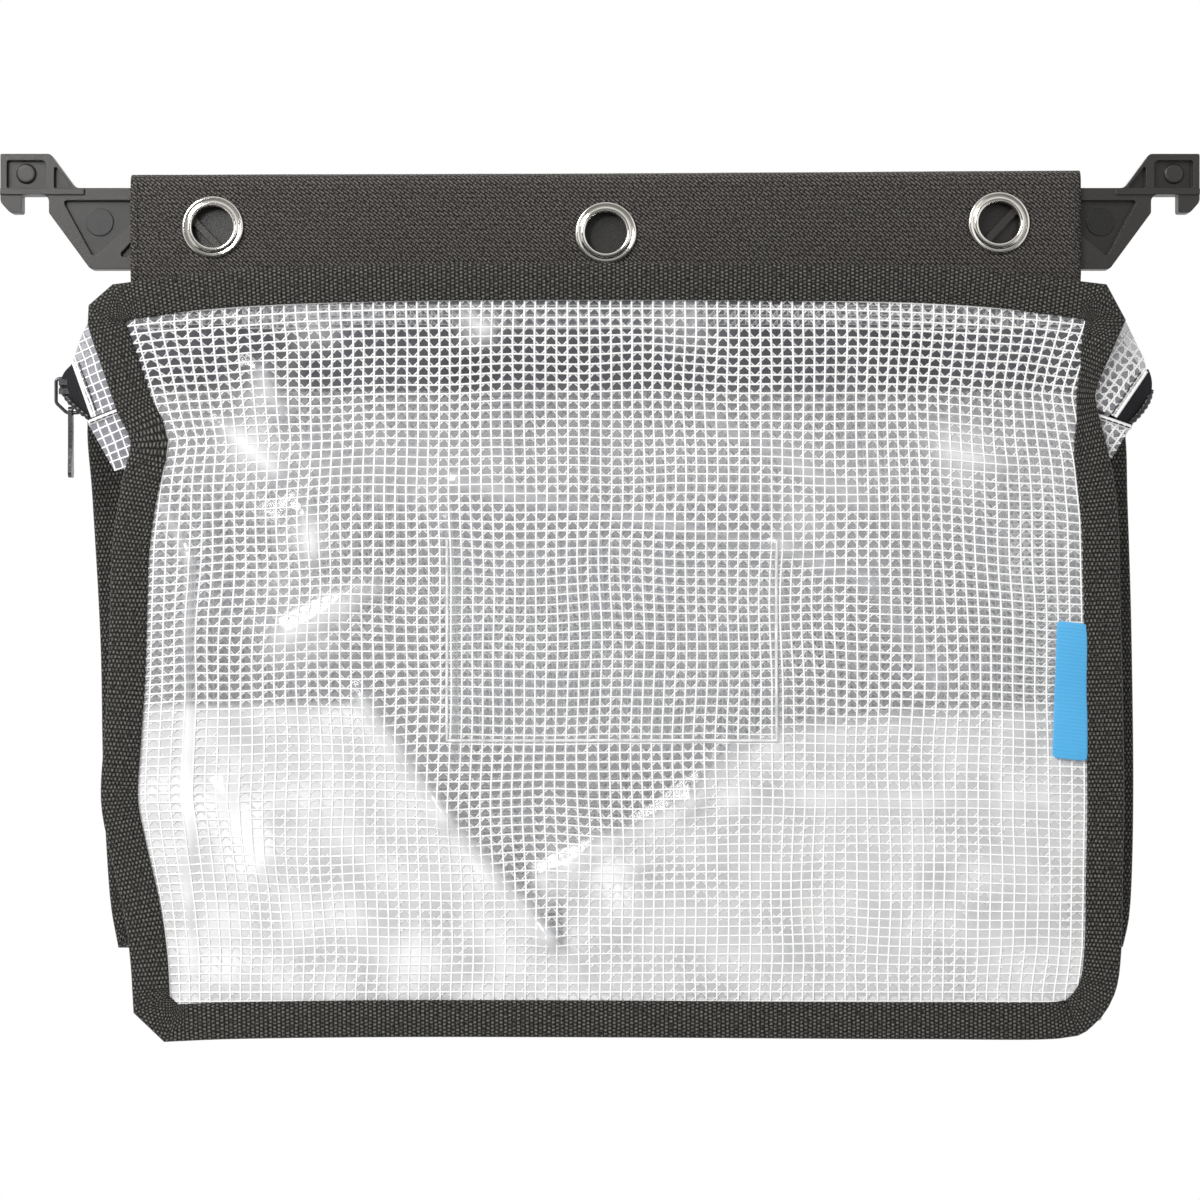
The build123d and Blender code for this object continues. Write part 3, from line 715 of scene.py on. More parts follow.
def front_milk_and_glare(x, z):
    """How milky the front film is, from 0 to 1: over the foot's folded corners,
    painted white along its creases and in patches as painted highlights, and a
    little more below the mouth, most in a band near Z -90 mm and towards the sides."""
    side = read_off(FLAP_SIDE, z)
    left = np.clip((side - x) / 4.0, 0, 1) * np.clip((-172.0 - z) / 4.0, 0, 1)
    top = read_off(FLAP_TOP, x)
    right = np.clip((top - z) / 5.0, 0, 1) * np.clip((x + 14.0) / 5.0, 0, 1)
    # A little milkier below the mouth, more in a band and towards the sides.
    milk_band = 0.1 + 0.14 * np.exp(-(((z + 90.0) / 20.0) ** 2))
    milk_band = (milk_band + 0.05 * ((x - POUCH_SHIFT) / PANEL_HALF) ** 2) * np.clip((-64.0 - z) / 10, 0, 1)
    milk_and_glare = 1 - (1 - 0.66 * left) * (1 - 0.56 * right) * (1 - milk_band)
    for x0, z0, x1, z1, width, height in CREASES:
        gap = line_gap(x, z, (x0, z0), (x1, z1))
        # Painted highlight: milky white along each crease.
        crease_highlight = min(0.2 * height, 0.55) * np.exp(-((gap / (width * 0.5)) ** 2))
        milk_and_glare = 1 - (1 - milk_and_glare) * (1 - crease_highlight)
    # Painted highlights: milky white patches at the listed places.
    for x0, z0, reach, depth in PAINTED_HIGHLIGHTS:
        gap = np.hypot(x - x0, z - z0) + 3.0 * smooth_noise(x, z, 8.0, 5.1)
        milk_and_glare = 1 - (1 - milk_and_glare) * (1 - depth * np.exp(-((gap / reach) ** 2)))
    return np.clip(milk_and_glare * (1 + 0.25 * smooth_noise(x, z, 14.0, 2.9)), 0, 0.95)


def line_gap(x, z, start, end):
    """Distance of points from a straight line that ends."""
    run = np.subtract(end, start)
    share = np.clip(((x - start[0]) * run[0] + (z - start[1]) * run[1]) / (run @ run), 0, 1)
    return np.hypot(x - start[0] - share * run[0], z - start[1] - share * run[1])


def front_point(u, v):
    """Point of the front film at its own across and down shares, in mm."""
    z = front_z(v, POUCH_SHIFT + (u - 0.5) * 330)
    x = front_x(u, z)
    z = front_z(v, x)
    fade = edge_fade(x, z, 18.0)
    x = x + 0.9 * fade * smooth_noise(x, z, 34.0, 1.3)
    z = z + 0.8 * fade * smooth_noise(x, z, 30.0, 6.7)
    return np.stack([x, FRONT_Y - front_relief(x, z), z], -1)


def back_x(u, z, inset):
    """X across the back panel at a height, between this far inside its edges."""
    left = np.interp(z, *BACK_LEFT) + inset
    right = np.interp(z, *BACK_RIGHT) - inset
    return left + (right - left) * u


def back_point(u, v):
    """Point of the back film, which hangs nearly flat."""
    z = -60.0 - 192.0 * v
    x = back_x(u, z, 6.0)
    fade = np.clip(np.minimum(np.minimum(u, 1 - u) * 14, np.minimum(v, 1 - v) * 8), 0, 1)
    y = BACK_Y + fade * (1.2 * smooth_noise(x, z, 55.0, 2.5) + 0.4)
    return np.stack([x, y, z], -1)


def share_grid(columns, rows):
    """Shares across and down, from 0 to 1, at the corners of this many cells."""
    return np.meshgrid(np.linspace(0, 1, columns + 1), np.linspace(0, 1, rows + 1))


def sheet_object(name, point_at, cells, size, material):
    """A sheet over shares across and down; size is its flat size in mm."""
    return grid_object(name, point_at(*share_grid(*cells)), material,
                       *(np.linspace(0, side, count + 1) for side, count in zip(size, cells)))


def strands(nodes, side, width, depth):
    """Flat yarns along the first axis of nodes, each with a diamond section."""
    out = unit(np.cross(np.gradient(nodes, axis=0), side))
    ring = [nodes + side * width / 2, nodes + out * depth / 2,
            nodes - side * width / 2, nodes - out * depth / 2]
    return np.stack(ring, 2)


def strand_faces(count, lines, start):
    """Side faces of four-sided strands that are stored ring by ring."""
    k, line, s = np.meshgrid(np.arange(count - 1), np.arange(lines), np.arange(4),
                             indexing="ij")
    a = start + (k * lines + line) * 4
    b = a + lines * 4
    t = (s + 1) % 4
    return np.stack([a + s, a + t, b + t, b + s], -1).reshape(-1, 4)


def travel(line):
    """Distance along a line of points, from 0 at its first."""
    return np.concatenate([[0], np.cumsum(np.linalg.norm(np.diff(line, axis=0), axis=1))])


def unit(vectors):
    """Vectors drawn to a length of 1."""
    return vectors / np.maximum(np.linalg.norm(vectors, axis=-1, keepdims=True), 1e-9)


def net_object(name, nodes, material):
    """A warp-knitted net over a grid of nodes: warps, wefts and corner yarns."""
    width = settings().yarn_width / MM
    rows, columns = nodes.shape[:2]
    across = unit(np.gradient(nodes, axis=1))
    down = unit(np.gradient(nodes, axis=0))
    warp = strands(nodes, across, width, 0.34)
    weft = strands(nodes.transpose(1, 0, 2), down.transpose(1, 0, 2), width * 0.9, 0.3)
    points = [warp.reshape(-1, 3), weft.reshape(-1, 3)]
    faces = [strand_faces(rows, columns, 0),
             strand_faces(columns, rows, len(points[0]))]
    start = len(points[0]) + len(points[1])
    row, column = np.meshgrid(np.arange(1, rows - 1), np.arange(1, columns - 1), indexing="ij")
    row, column = row.ravel(), column.ravel()
    lean = np.where(column % 2 == 0, 1, -1)
    here = nodes[row, column]
    out = unit(np.cross(across[row, column], down[row, column]))
    half_wide, thick = 0.28, 0.14
    for turn in (1, -1):
        low = here + (nodes[row + turn, column] - here) * 0.5
        high = here + (nodes[row, column + lean * turn] - here) * 0.44
        side = unit(np.cross(high - low, out))
        prism = [end + reach for end in (low, high)
                 for reach in (side * half_wide, -side * half_wide, out * thick)]
        block = np.stack(prism, 1).reshape(-1, 3)
        base = start + np.arange(len(here))[:, None] * 6
        for s in range(3):
            t = (s + 1) % 3
            faces.append(np.concatenate([base + s, base + t, base + 3 + t, base + 3 + s], 1))
        points.append(block)
        start += len(block)
    mesh = bpy.data.meshes.new(name)
    points = np.concatenate(points) * MM
    faces = np.concatenate(faces)
    mesh.from_pydata(points.tolist(), [], faces.tolist())
    return finish_object(name, mesh, material)


def net_nodes(point_at, wide, high):
    """Crossings of the net over a sheet that is this wide and high in mm."""
    columns = max(3, round(wide / (settings().warp_pitch / MM)))
    rows = max(3, round(high / (settings().weft_pitch / MM)))
    return point_at(*share_grid(columns, rows))


def netted(name, point_at, cells, size, net_size, material):
    """A film sheet and the net laminated in it, over the same points."""
    film = sheet_object(name, point_at, cells, size, material)
    net = net_object(name.replace("film", "net"), net_nodes(point_at, *net_size),
                     polyester_net())
    return film, net


def bound_edge(name, marks, y_middle, width, relief=None, narrow=()):
    """Tape folded over a panel's edge, mitred where the edge turns sharply, with no
    other ring within keep_off of a mitre."""
    keep_off = 5.0
    path = smooth_path(marks, 4.0)
    sharp = [(x, z) for x, z, corner in path if corner]
    kept = [p for p in path if p[2] or all(math.hypot(p[0] - x, p[1] - z) > keep_off
                                           for x, z in sharp)]
    line = np.array([(x, z) for x, z, corner in kept])
    before = unit(line - np.roll(line, 1, 0))
    after = unit(np.roll(line, -1, 0) - line)
    inward_in = np.stack([before[:, 1], -before[:, 0]], 1)
    inward_out = np.stack([after[:, 1], -after[:, 0]], 1)
    inward = unit(inward_in + inward_out)
    reach = 1 / np.clip((inward * inward_in).sum(1), 0.5, 1)
    share = np.ones(len(line))
    for x, z, spread, least in narrow:
        away = np.hypot(line[:, 0] - x, line[:, 1] - z)
        share -= (1 - least) * np.exp(-((away / spread) ** 2))
    w = width
    half = [(w, 0.3), (w + 0.05, 0.85), (w - 0.5, 1.3), (w - 1.2, 1.42), (w - 2.1, 1.2),
            (w - 3.0, 1.42), (w * 0.5, 1.5), (1.6, 1.58), (0.5, 1.3), (0.0, 0.5)]
    section = np.array([(inside, -out) for inside, out in half] + half[::-1])
    depth, height = section.T
    turned = depth[None, :] * (reach * share)[:, None]
    xz = line[:, None, :] + inward[:, None, :] * turned[..., None]
    swell = 0.22 * smooth_noise(line[:, 0], line[:, 1], 17.0, 3.3)
    y = y_middle + height[None, :] * (1 + swell[:, None] * 0.4)
    if relief is not None:
        y = y - relief(xz[..., 0], xz[..., 1])
    points = np.stack([xz[..., 0], y, xz[..., 1]], -1)
    points = np.concatenate([points, points[:1]])
    across = travel(section)
    made = grid_object(name, points, woven_webbing(), np.append(across, across[-1] + 0.6),
                       travel(np.concatenate([line, line[:1]])), ring=True)
    close_up(made)
    return made


def stitches(name, line, material, pitch=2.6, long=1.9, radius=0.19):
    """A row of thread stitches along a line of points in mm, few faces each."""
    run = travel(line)
    count = int(run[-1] / pitch)
    starts = (np.arange(count) + 0.15) * pitch
    shares = np.array((0.0, 0.12, 0.5, 0.88, 1.0))
    sizes = np.array((0.15, 0.8, 1.0, 0.8, 0.15))
    at = starts[:, None] + shares[None, :] * long
    centre = np.stack([np.interp(at, run, line[:, k]) for k in range(3)], -1)
    along = unit(centre[:, -1] - centre[:, 0])[:, None, :]
    side = unit(np.cross(along, np.array((0.0, 1.0, 0.0))))
    out = np.cross(side, along)
    ring = [centre + (side * math.cos(turn) + out * math.sin(turn)) * radius * sizes[:, None]
            for turn in np.arange(6) * math.pi / 3]
    points = np.stack(ring, 2)
    block = len(shares) * 6
    base = (np.arange(count) * block)[:, None, None]
    k, s = np.meshgrid(np.arange(len(shares) - 1), np.arange(6), indexing="ij")
    a = base + k * 6
    t = (s + 1) % 6
    faces = np.stack([a + s, a + t, a + 6 + t, a + 6 + s], -1).reshape(-1, 4)
    caps = [tuple(int(c * block + s) for s in reversed(range(6))) for c in range(count)]
    caps += [tuple(int(c * block + block - 6 + s) for s in range(6)) for c in range(count)]
    mesh = bpy.data.meshes.new(name)
    mesh.from_pydata((points.reshape(-1, 3) * MM).tolist(), [], faces.tolist() + caps)
    return finish_object(name, mesh, material)


# Pieces


class POUCH_OT_bar(bpy.types.Operator):
    """Finish the moulded hanger bar"""

    bl_idname = "pouch.bar"
    bl_label = "Hanger bar"

    def execute(self, context):
        paint_node("hanger_bar", moulded_polypropylene())
        return {"FINISHED"}


def paint_node(node, material):
    """Give a CAD node one finish all over."""
    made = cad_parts[node]
    if not made.material_slots:
        made.data.materials.append(material)
    for slot in made.material_slots:
        slot.material = material


class POUCH_OT_header(bpy.types.Operator):
    """Make the cloth header that is folded over the bar"""

    bl_idname = "pouch.header"
    bl_label = "Cloth header"

    def execute(self, context):
        low, high = HEADER_ENDS
        x = np.arange(low, high + 0.8, 1.6)
        x[-1] = high
        points = header_points(x)
        press_ripples(points)
        made = grid_object("header_cloth", points, woven_polyester(), x, travel(points[:, 10]))
        cut_round_holes(made, eyelet_centres().values(), BARREL_HOLE)
        face_out(made, (0, 0, 1))
        thicken(made, 0.8)
        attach(made, "pouch_back")
        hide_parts("header_sleeve")
        z = np.linspace(4.5, -36.0, 60)
        y = np.interp(z, (HEADER_FOOT, HEADER_TAPER, 4.5), (-1.5, -4.35, -4.3)) - 0.02
        hems = [stitches(f"header_hem_{place}", np.stack([np.full_like(z, x_hem), y, z], -1),
                         black_thread())
                for place, x_hem in (("left", low + HEM_INSET), ("right", high - HEM_INSET))]
        for hem in hems:
            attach(hem, "pouch_back")
        return {"FINISHED"}


def header_points(x):
    """Rows of points over the header: up its rear face, round the bar's top and
    down its front face, where each face draws in to the other at its foot."""
    half = HEADER_HALF
    top = np.interp(x, (HEADER_ENDS[0], POUCH_SHIFT, HEADER_ENDS[1]), (6.8, 7.3, 8.3))
    rows = [(np.full_like(x, -half * math.sin(turn)), top - half + half * math.cos(turn))
            for turn in np.linspace(0, math.pi / 2, 5)]
    rows += [(np.full_like(x, -half), top - half + (HEADER_TAPER - top + half) * share)
             for share in np.linspace(0, 1, 20)[1:]]
    rows += [(np.full_like(x, -half + (half - 1.2) * share),
              np.full_like(x, HEADER_TAPER + (HEADER_FOOT - HEADER_TAPER) * share))
             for share in np.linspace(0, 1, 6)[1:]]
    front = [np.stack([x, y, z], -1) for y, z in rows]
    rear = [np.stack([x, -y, z], -1) for y, z in rows[1:]]
    return np.stack(rear[::-1] + front)


def press_ripples(points):
    """Ripple the header's cloth, in rays round each eyelet, and press it flat under
    the eyelets and at its foot."""
    x, z = points[..., 0], points[..., 2]
    ripple = 0.28 * smooth_noise(x, z, 26.0, 7.7)
    ripple += 0.12 * smooth_noise(x, z, 8.0, 2.2)
    for index, (x_eye, z_eye) in enumerate(eyelet_centres().values()):
        away = np.hypot(x - x_eye, z - z_eye)
        around = np.arctan2(z - z_eye, x - x_eye)
        ripple += 0.22 * np.cos(around * 7 + index) * np.exp(-((away - 13) / 5) ** 2)
        ripple -= 0.5 * np.exp(-(away / 11) ** 4)
    side = np.where(points[..., 1] < 0, -1, 1)
    flat = np.clip((z + 37) / 6, 0, 1)
    points[..., 1] += side * np.clip(ripple, -0.35, 0.5) * flat


def eyelet_centres():
    """X and Z in mm of each eyelet's axis, read from the middle of its CAD node."""
    centres = {}
    for place in ("left", "centre", "right"):
        low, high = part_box(f"front_eyelet_{place}")
        centres[place] = ((low[0] + high[0]) / 2 / MM, (low[2] + high[2]) / 2 / MM)
    return centres


def cut_round_holes(made, centres, radius):
    """Open a sheet where the eyelets' barrels go through it."""
    edit = bmesh.new()
    edit.from_mesh(made.data)
    gone = []
    for face in edit.faces:
        centre = face.calc_center_median() / MM
        if any(math.hypot(centre.x - x, centre.z - z) < radius for x, z in centres):
            gone.append(face)
    bmesh.ops.delete(edit, geom=gone, context="FACES")
    edit.to_mesh(made.data)
    edit.free()


class POUCH_OT_eyelets(bpy.types.Operator):
    """Make the six rolled nickel eyelets and finish their washers"""

    bl_idname = "pouch.eyelets"
    bl_label = "Eyelets"

    def execute(self, context):
        nickel = plated_nickel()
        profile = ((7.0, 2.85), (7.0, 4.7), (7.08, 5.1), (7.35, 5.42), (7.75, 5.6),
                   (8.2, 5.58), (8.6, 5.36), (8.86, 5.0), (9.05, 4.82), (9.3, 4.84),
                   (9.65, 5.02), (10.05, 5.0), (10.36, 4.78), (10.58, 4.45), (10.6, 4.24),
                   (10.2, 4.2), (9.0, 4.2), (7.75, 4.2), (7.72, 3.4), (7.72, 2.85))
        for side, sign in (("front", -1), ("rear", 1)):
            for place, centre in eyelet_centres().items():
                made = spun(f"eyelet_{side}_{place}", profile, centre, sign, nickel)
                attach(made, "pouch_back")
                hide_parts(f"{side}_eyelet_{place}")
            paint_node(f"{side}_eyelet_washers", nickel)
        return {"FINISHED"}


def spun(name, profile, centre, sign, material):
    """Spin a closed profile of radius and depth about an axis along Y, towards the
    side of this sign."""
    mesh = bpy.data.meshes.new(name)
    points = [((centre[0] + radius) * MM, sign * depth * MM, centre[1] * MM)
              for radius, depth in profile]
    count = len(points)
    mesh.from_pydata(points, [(i, (i + 1) % count) for i in range(count)], [])
    made = finish_object(name, mesh, material)
    pick(made)
    bpy.ops.object.mode_set(mode="EDIT")
    bpy.ops.mesh.select_all(action="SELECT")
    bpy.ops.mesh.spin(steps=64, angle=2 * math.pi, axis=(0, 1, 0),
                      center=(centre[0] * MM, 0, centre[1] * MM))
    bpy.ops.object.mode_set(mode="OBJECT")
    close_up(made)
    made.data.polygons.foreach_set("use_smooth", [True] * len(made.data.polygons))
    bpy.ops.object.shade_smooth_by_angle(angle=math.radians(40))
    return made


class POUCH_OT_front_panel(bpy.types.Operator):
    """Make the creased front film, its net and its binding"""

    bl_idname = "pouch.front_panel"
    bl_label = "Front panel"

    def execute(self, context):
        film, net = netted("front_film", front_point, (220, 170), (340, 259), (322, 244),
                           calendered_film("front"))
        face_out(film, (0, -1, 0))
        places = np.array([vertex.co for vertex in film.data.vertices]) / MM
        # The milk attribute holds the film's milkiness and its painted highlights.
        milk_and_glare = film.data.attributes.new("milk_and_glare", "FLOAT", "POINT")
        milk_and_glare.data.foreach_set("value", front_milk_and_glare(places[:, 0], places[:, 2]))
        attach(film, "pouch_front")
        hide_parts("front_panel")
        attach(net, "pouch_front")
        tape = bound_edge("front_binding", FRONT_EDGE, FRONT_Y, settings().binding_width / MM,
                          front_relief, FRONT_NARROW)
        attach(tape, "pouch_front")
        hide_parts("front_binding_top", "front_binding_left", "front_binding_right",
                    "front_binding_bottom")
        return {"FINISHED"}


class POUCH_OT_back_panel(bpy.types.Operator):
    """Make the back film, its net, the cloth yoke above it and the binding"""

    bl_idname = "pouch.back_panel"
    bl_label = "Back panel"

    def execute(self, context):
        film, net = netted("back_film", back_point, (80, 56), (352, 198), (340, 192),
                           shaded_back_film())
        face_out(film, (0, 1, 0))
        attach(film, "pouch_back")
        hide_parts("back_panel")
        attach(net, "pouch_back")
        tape = bound_edge("back_binding", BACK_EDGE, BACK_Y, settings().binding_width / MM)
        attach(tape, "pouch_back")
        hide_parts("back_binding_top", "back_binding_left", "back_binding_right",
                    "back_binding_bottom")
        yoke = sheet_object("yoke_cloth", yoke_point, (60, 6), (340, 26), woven_polyester())
        thicken(yoke, 0.6)
        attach(yoke, "pouch_back")
        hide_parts("back_yoke")
        return {"FINISHED"}


def yoke_point(u, v):
    """The black cloth yoke at the head of the back panel."""
    z = -40.5 - 21.5 * v
    return np.stack([back_x(u, z, 7.0), np.full_like(z, BACK_Y - 0.7), z], -1)


def rear_of(y, half):
    """Depth of a point of the front half, mirrored behind the zip for the rear."""
    return y if half == "front" else 2 * ZIP_Y - y


class POUCH_OT_mouth(bpy.types.Operator):
    """Make the film strips, ears, tapes and coils of the zipped mouth"""

    bl_idname = "pouch.mouth"
    bl_label = "Zipped mouth"

    def execute(self, context):
        for half, body in (("front", "pouch_front"), ("rear", "pouch_back")):
            strip, net = netted(f"mouth_film_{half}", lambda u, v: strip_point(u, v, half),
                                (120, 6), (322, 10.5), (316, 10), calendered_film("front"))
            tape = zip_tape(half)
            coil = zip_coil(half)
            for place in ("left", "right"):
                self.make_ear(place, half, body)
            for piece in (strip, net, tape, coil):
                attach(piece, body)
            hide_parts(f"mouth_strip_{half}")
            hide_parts(f"zip_tape_{half}")
            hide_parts(f"zip_coil_{half}")
        return {"FINISHED"}

    def make_ear(self, place, half, body):
        """One ear: two film patches with net, their fold, seam and the zip's end."""
        inside = -1 if half == "front" else 1
        pieces = []
        for part, outline in (("upper", EAR_UPPER[place]), ("lower", EAR_LOWER[place])):
            film, net = netted(
                f"ear_film_{part}_{place}_{half}", lambda u, v: ear_point(u, v, place, half),
                (30, 40), EAR_SHEET, (54, 68),
                calendered_film(f"ear_{place}", haze=(0.6, 0.85), colour=EAR_FILM[place]))
            for piece in (film, net):
                trim(piece, outline)
                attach(piece, body)
            pieces += [film, net]
        head, foot = (np.array(point) for point in EAR_UPPER[place][:2])
        share = np.linspace(0, 1, 24)[:, None]
        fold = ear_place(head + (foot - head) * share, half)
        roll = cord(f"ear_fold_{place}_{half}", fold, 0.62, polyester_net())
        in_from_fold = np.array((2.0 if place == "left" else -2.0, 0.0))
        inner = ear_place(head + in_from_fold + (foot - head) * share, half)
        inner[:, 1] += 0.45 * inside
        thread = black_thread()
        stitched = stitches(f"ear_fold_stitch_{place}_{half}", inner, thread, 2.3, 2.2, 0.26)
        start = np.array(EAR_LOWER[place][0]) + (0.3, 0.6)
        end = np.array(EAR_LOWER[place][3])
        seam_line = ear_place(start + (end - start) * share, half)
        seam = cord(f"ear_seam_{place}_{half}", seam_line, 0.95, polyester_net())
        seam_line = seam_line + (0, 1.0 * inside, -0.3)
        seam_stitch = stitches(f"ear_seam_stitch_{place}_{half}", seam_line, thread, 2.3, 2.2,
                               0.26)
        end_tape = grid_object(f"zip_end_tape_{place}_{half}",
                               zip_end_points(place, half, fold), zip_tape_cloth(),
                               np.linspace(0, 5, 7), np.linspace(0, 20, 24))
        thicken(end_tape, 0.5)
        for piece in (roll, stitched, seam, seam_stitch, end_tape):
            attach(piece, body)
        if half == "front":
            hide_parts(f"gusset_seam_{place}")


def strip_point(u, v, half):
    """Film between the binding and the zip tape."""
    x = POUCH_SHIFT - 158.0 + 316.0 * u
    z = -38.0 - 10.0 * v
    y = -24.0 + 0.3 * v**2 + 0.3 * smooth_noise(x, z, 30.0, 5.5) * v
    return np.stack([x, rear_of(y, half), z], -1)


def ear_place(flat, half):
    """Points of X and Z on an ear, which leans back towards the zip."""
    flat = np.asarray(flat, float)
    out = np.clip((np.abs(flat[..., 0] - POUCH_SHIFT) - 164.0) / 17.0, 0, 1)
    y = -24.2 + 5.8 * out**1.4
    return np.stack([flat[..., 0], rear_of(y, half), flat[..., 1]], -1)


def ear_point(u, v, place, half):
    """Film of an ear before it is trimmed, laid along the fold beside the zip."""
    head, foot = (np.array(point) for point in EAR_UPPER[place][:2])
    down = (foot - head) / np.linalg.norm(foot - head)
    into = np.array((-down[1], down[0])) * (1 if place == "left" else -1)
    across, along = u * EAR_SHEET[0], v * EAR_SHEET[1]
    flat = (head + into * (across[..., None] - EAR_CORNER[0])
            + down * (along[..., None] - EAR_CORNER[1]))
    flat = flat + 0.35 * np.stack([smooth_noise(across, along, 9.0, 3.1),
                                   smooth_noise(across, along, 9.0, 8.4)], -1)
    return ear_place(flat, half)


def zip_end_line(place, count=24):
    """Outer line of the zip's end in X and Z."""
    head, handle, foot = (np.array(point) for point in ZIP_END[place])
    t = np.linspace(0, 1, count)[:, None]
    return head * (1 - t) ** 2 + handle * 2 * t * (1 - t) + foot * t**2


def zip_end_points(place, half, fold):
    """Tape between an ear's fold and the outer line of the zip's end."""
    line = zip_end_line(place, len(fold))
    outer = np.stack([line[:, 0], np.full(len(line), rear_of(-16.4, half)), line[:, 1]], -1)
    share = np.linspace(0, 1, 7)[None, :, None]
    return fold[:, None, :] * (1 - share) + outer[:, None, :] * share


def zip_tape(half):
    """Zip tape: turned down from the film strip and flat beside the coil."""
    share = np.linspace(-1.0, 1.0, 140)
    route = ((-23.3, -46.8), (-23.2, -51.0), (-22.7, -56.0), (-21.8, -61.0), (-20.6, -65.2),
             (-19.4, -67.0), (-17.4, -67.0), (-16.6, -67.0))
    rows = []
    for y, z in route:
        x = POUCH_SHIFT + share * (162.0 if z > -66 else 174.0)
        level = np.full_like(x, z)
        wave = 0.25 * smooth_noise(x, level, 40.0, 8.8)
        rows.append(np.stack([x, rear_of(y + wave * (z > -66), half), level], -1))
    made = grid_object(f"zip_tape_cloth_{half}", np.stack(rows), zip_tape_cloth(), share * 170,
                       travel(route))
    thicken(made, 0.5)
    return made


def cord(name, line, radius, material, swell=1.0):
    """A closed round cord along a line of points in mm; swell scales its rings."""
    along = unit(np.gradient(line, axis=0))
    side = unit(np.cross(along, np.array((0.0, 0.6, 0.8))))
    out = np.cross(side, along)
    size = np.full(len(line), radius) * swell
    ring = [line + (side * math.cos(turn) + out * math.sin(turn)) * size[:, None]
            for turn in np.arange(8) * 2 * math.pi / 8]
    made = grid_object(name, np.stack(ring, 1), material, ring=True)
    close_up(made, ends=True)
    return made


def zip_coil(half):
    """One half of the coil as a row of rounded teeth on a cord, few faces each,
    straight under the mouth, bent down at both ends and parted there, which
    leaves room for the pull."""
    left, right = (zip_end_line(place)[9:] for place in ("left", "right"))
    marks = [(x, z) for x, z in left[::-2]] + [(x, ZIP_Z) for x in np.linspace(-176, 180, 60)]
    marks += [(x, z) for x, z in right[::2]]
    parted = [1.6 * min(max((-69.0 - z) / 3, 0), 1) for x, z in marks]
    marks = np.array([(x, rear_of(ZIP_Y - COIL_OFFSET - wide, half), z)
                      for (x, z), wide in zip(marks, parted)])
    run = travel(marks)
    at = np.arange(0, run[-1], COIL_PITCH / 4)
    line = np.stack([np.interp(at, run, marks[:, k]) for k in range(3)], -1)
    swell = np.array((0.72, 1.0, 1.05, 0.9))[np.arange(len(at)) % 4]
    return cord(f"zip_teeth_{half}", line, COIL_RADIUS, moulded_nylon(), swell)


class POUCH_OT_gussets(bpy.types.Operator):
    """Make the folded side gussets and the floor between the panels"""

    bl_idname = "pouch.gussets"
    bl_label = "Gussets"

    def execute(self, context):
        for side in (-1, 1):
            place = "left" if side < 0 else "right"
            film, net = netted(f"gusset_film_{place}", lambda u, v: gusset_point(u, v, side),
                               (24, 44), (54, 144), (54, 144), calendered_film("front"))
            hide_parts(f"gusset_{place}_front", f"gusset_{place}_rear")
            for piece in (film, net):
                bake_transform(piece)
        film, net = netted("floor_film", floor_point, (110, 12), (304, 36), (303, 36),
                           calendered_film("front"))
        for piece in (film, net):
            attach(piece, "pouch_front")
        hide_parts("floor_gusset")
        for side, point_at, wide, high in (("left", flap_left, 126, 99),
                                           ("right", flap_right, 172, 84)):
            film, net = netted(f"foot_fold_film_{side}", point_at, (60, 40), (wide, high),
                               (wide, high), creased_film())
            face_out(film, (0, -1, 0))
            for piece in (film, net):
                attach(piece, "pouch_front")
        return {"FINISHED"}


def flap_depth(x, z):
    """Depth of the corner folds inside the foot, close behind the front film."""
    edge = np.clip((150.0 - np.abs(x - POUCH_SHIFT)) / 30.0, 0, 1)
    return -24.9 + 2.2 * edge + 0.5 * smooth_noise(x, z, 26.0, 6.6) * edge


def flap_left(u, v):
    """Box corner folded inside the left of the foot."""
    z = -173.5 - 97.5 * v - 1.5 * np.sin(u * math.pi)
    side = read_off(FLAP_SIDE, z)
    x = -156.0 + (side + 156.0) * u
    return np.stack([x, flap_depth(x, z), z], -1)


def flap_right(u, v):
    """Box corner folded inside the right of the foot."""
    x = -12.0 + 173.0 * u
    top = read_off(FLAP_TOP, x)
    z = top + (-271.0 - top) * v
    return np.stack([x, flap_depth(x, z) + 0.8, z], -1)


def gusset_point(u, v, side):
    """Side gusset from the front binding in to its fold and out to the back."""
    t = np.abs(u - 0.5) * 2
    out = np.clip(np.sqrt(t**2 + 0.006) - 0.04, 0, 1)
    reach = np.where(u < 0.5, 157.0, 165.0)
    waist = 3.0 * np.exp(-((v / 0.12) ** 2))
    x = GUSSET_FOLD + (reach - GUSSET_FOLD) * out - waist * out
    y = np.interp(u, (0, 0.5, 1), (-24.1, ZIP_Y, -1.9))
    z = -98.0 - 145.5 * v
    wave = 0.7 * smooth_noise(x, z, 36.0, 3.0 + side) * (1 - t)
    return np.stack([POUCH_SHIFT + side * x, y + wave, z], -1)


def floor_point(u, v):
    """Floor of the pouch, from the foot of the back panel down to the front."""
    x = POUCH_SHIFT - 151.0 + 302.0 * u
    y = np.interp(v, (0, 0.5, 1), (-2.2, ZIP_Y, -24.2))
    z = np.interp(v, (0, 0.5, 1), (-246.0, -263.4, -273.2))
    return np.stack([x, y, z + 0.5 * smooth_noise(x, y, 30.0, 1.9)], -1)


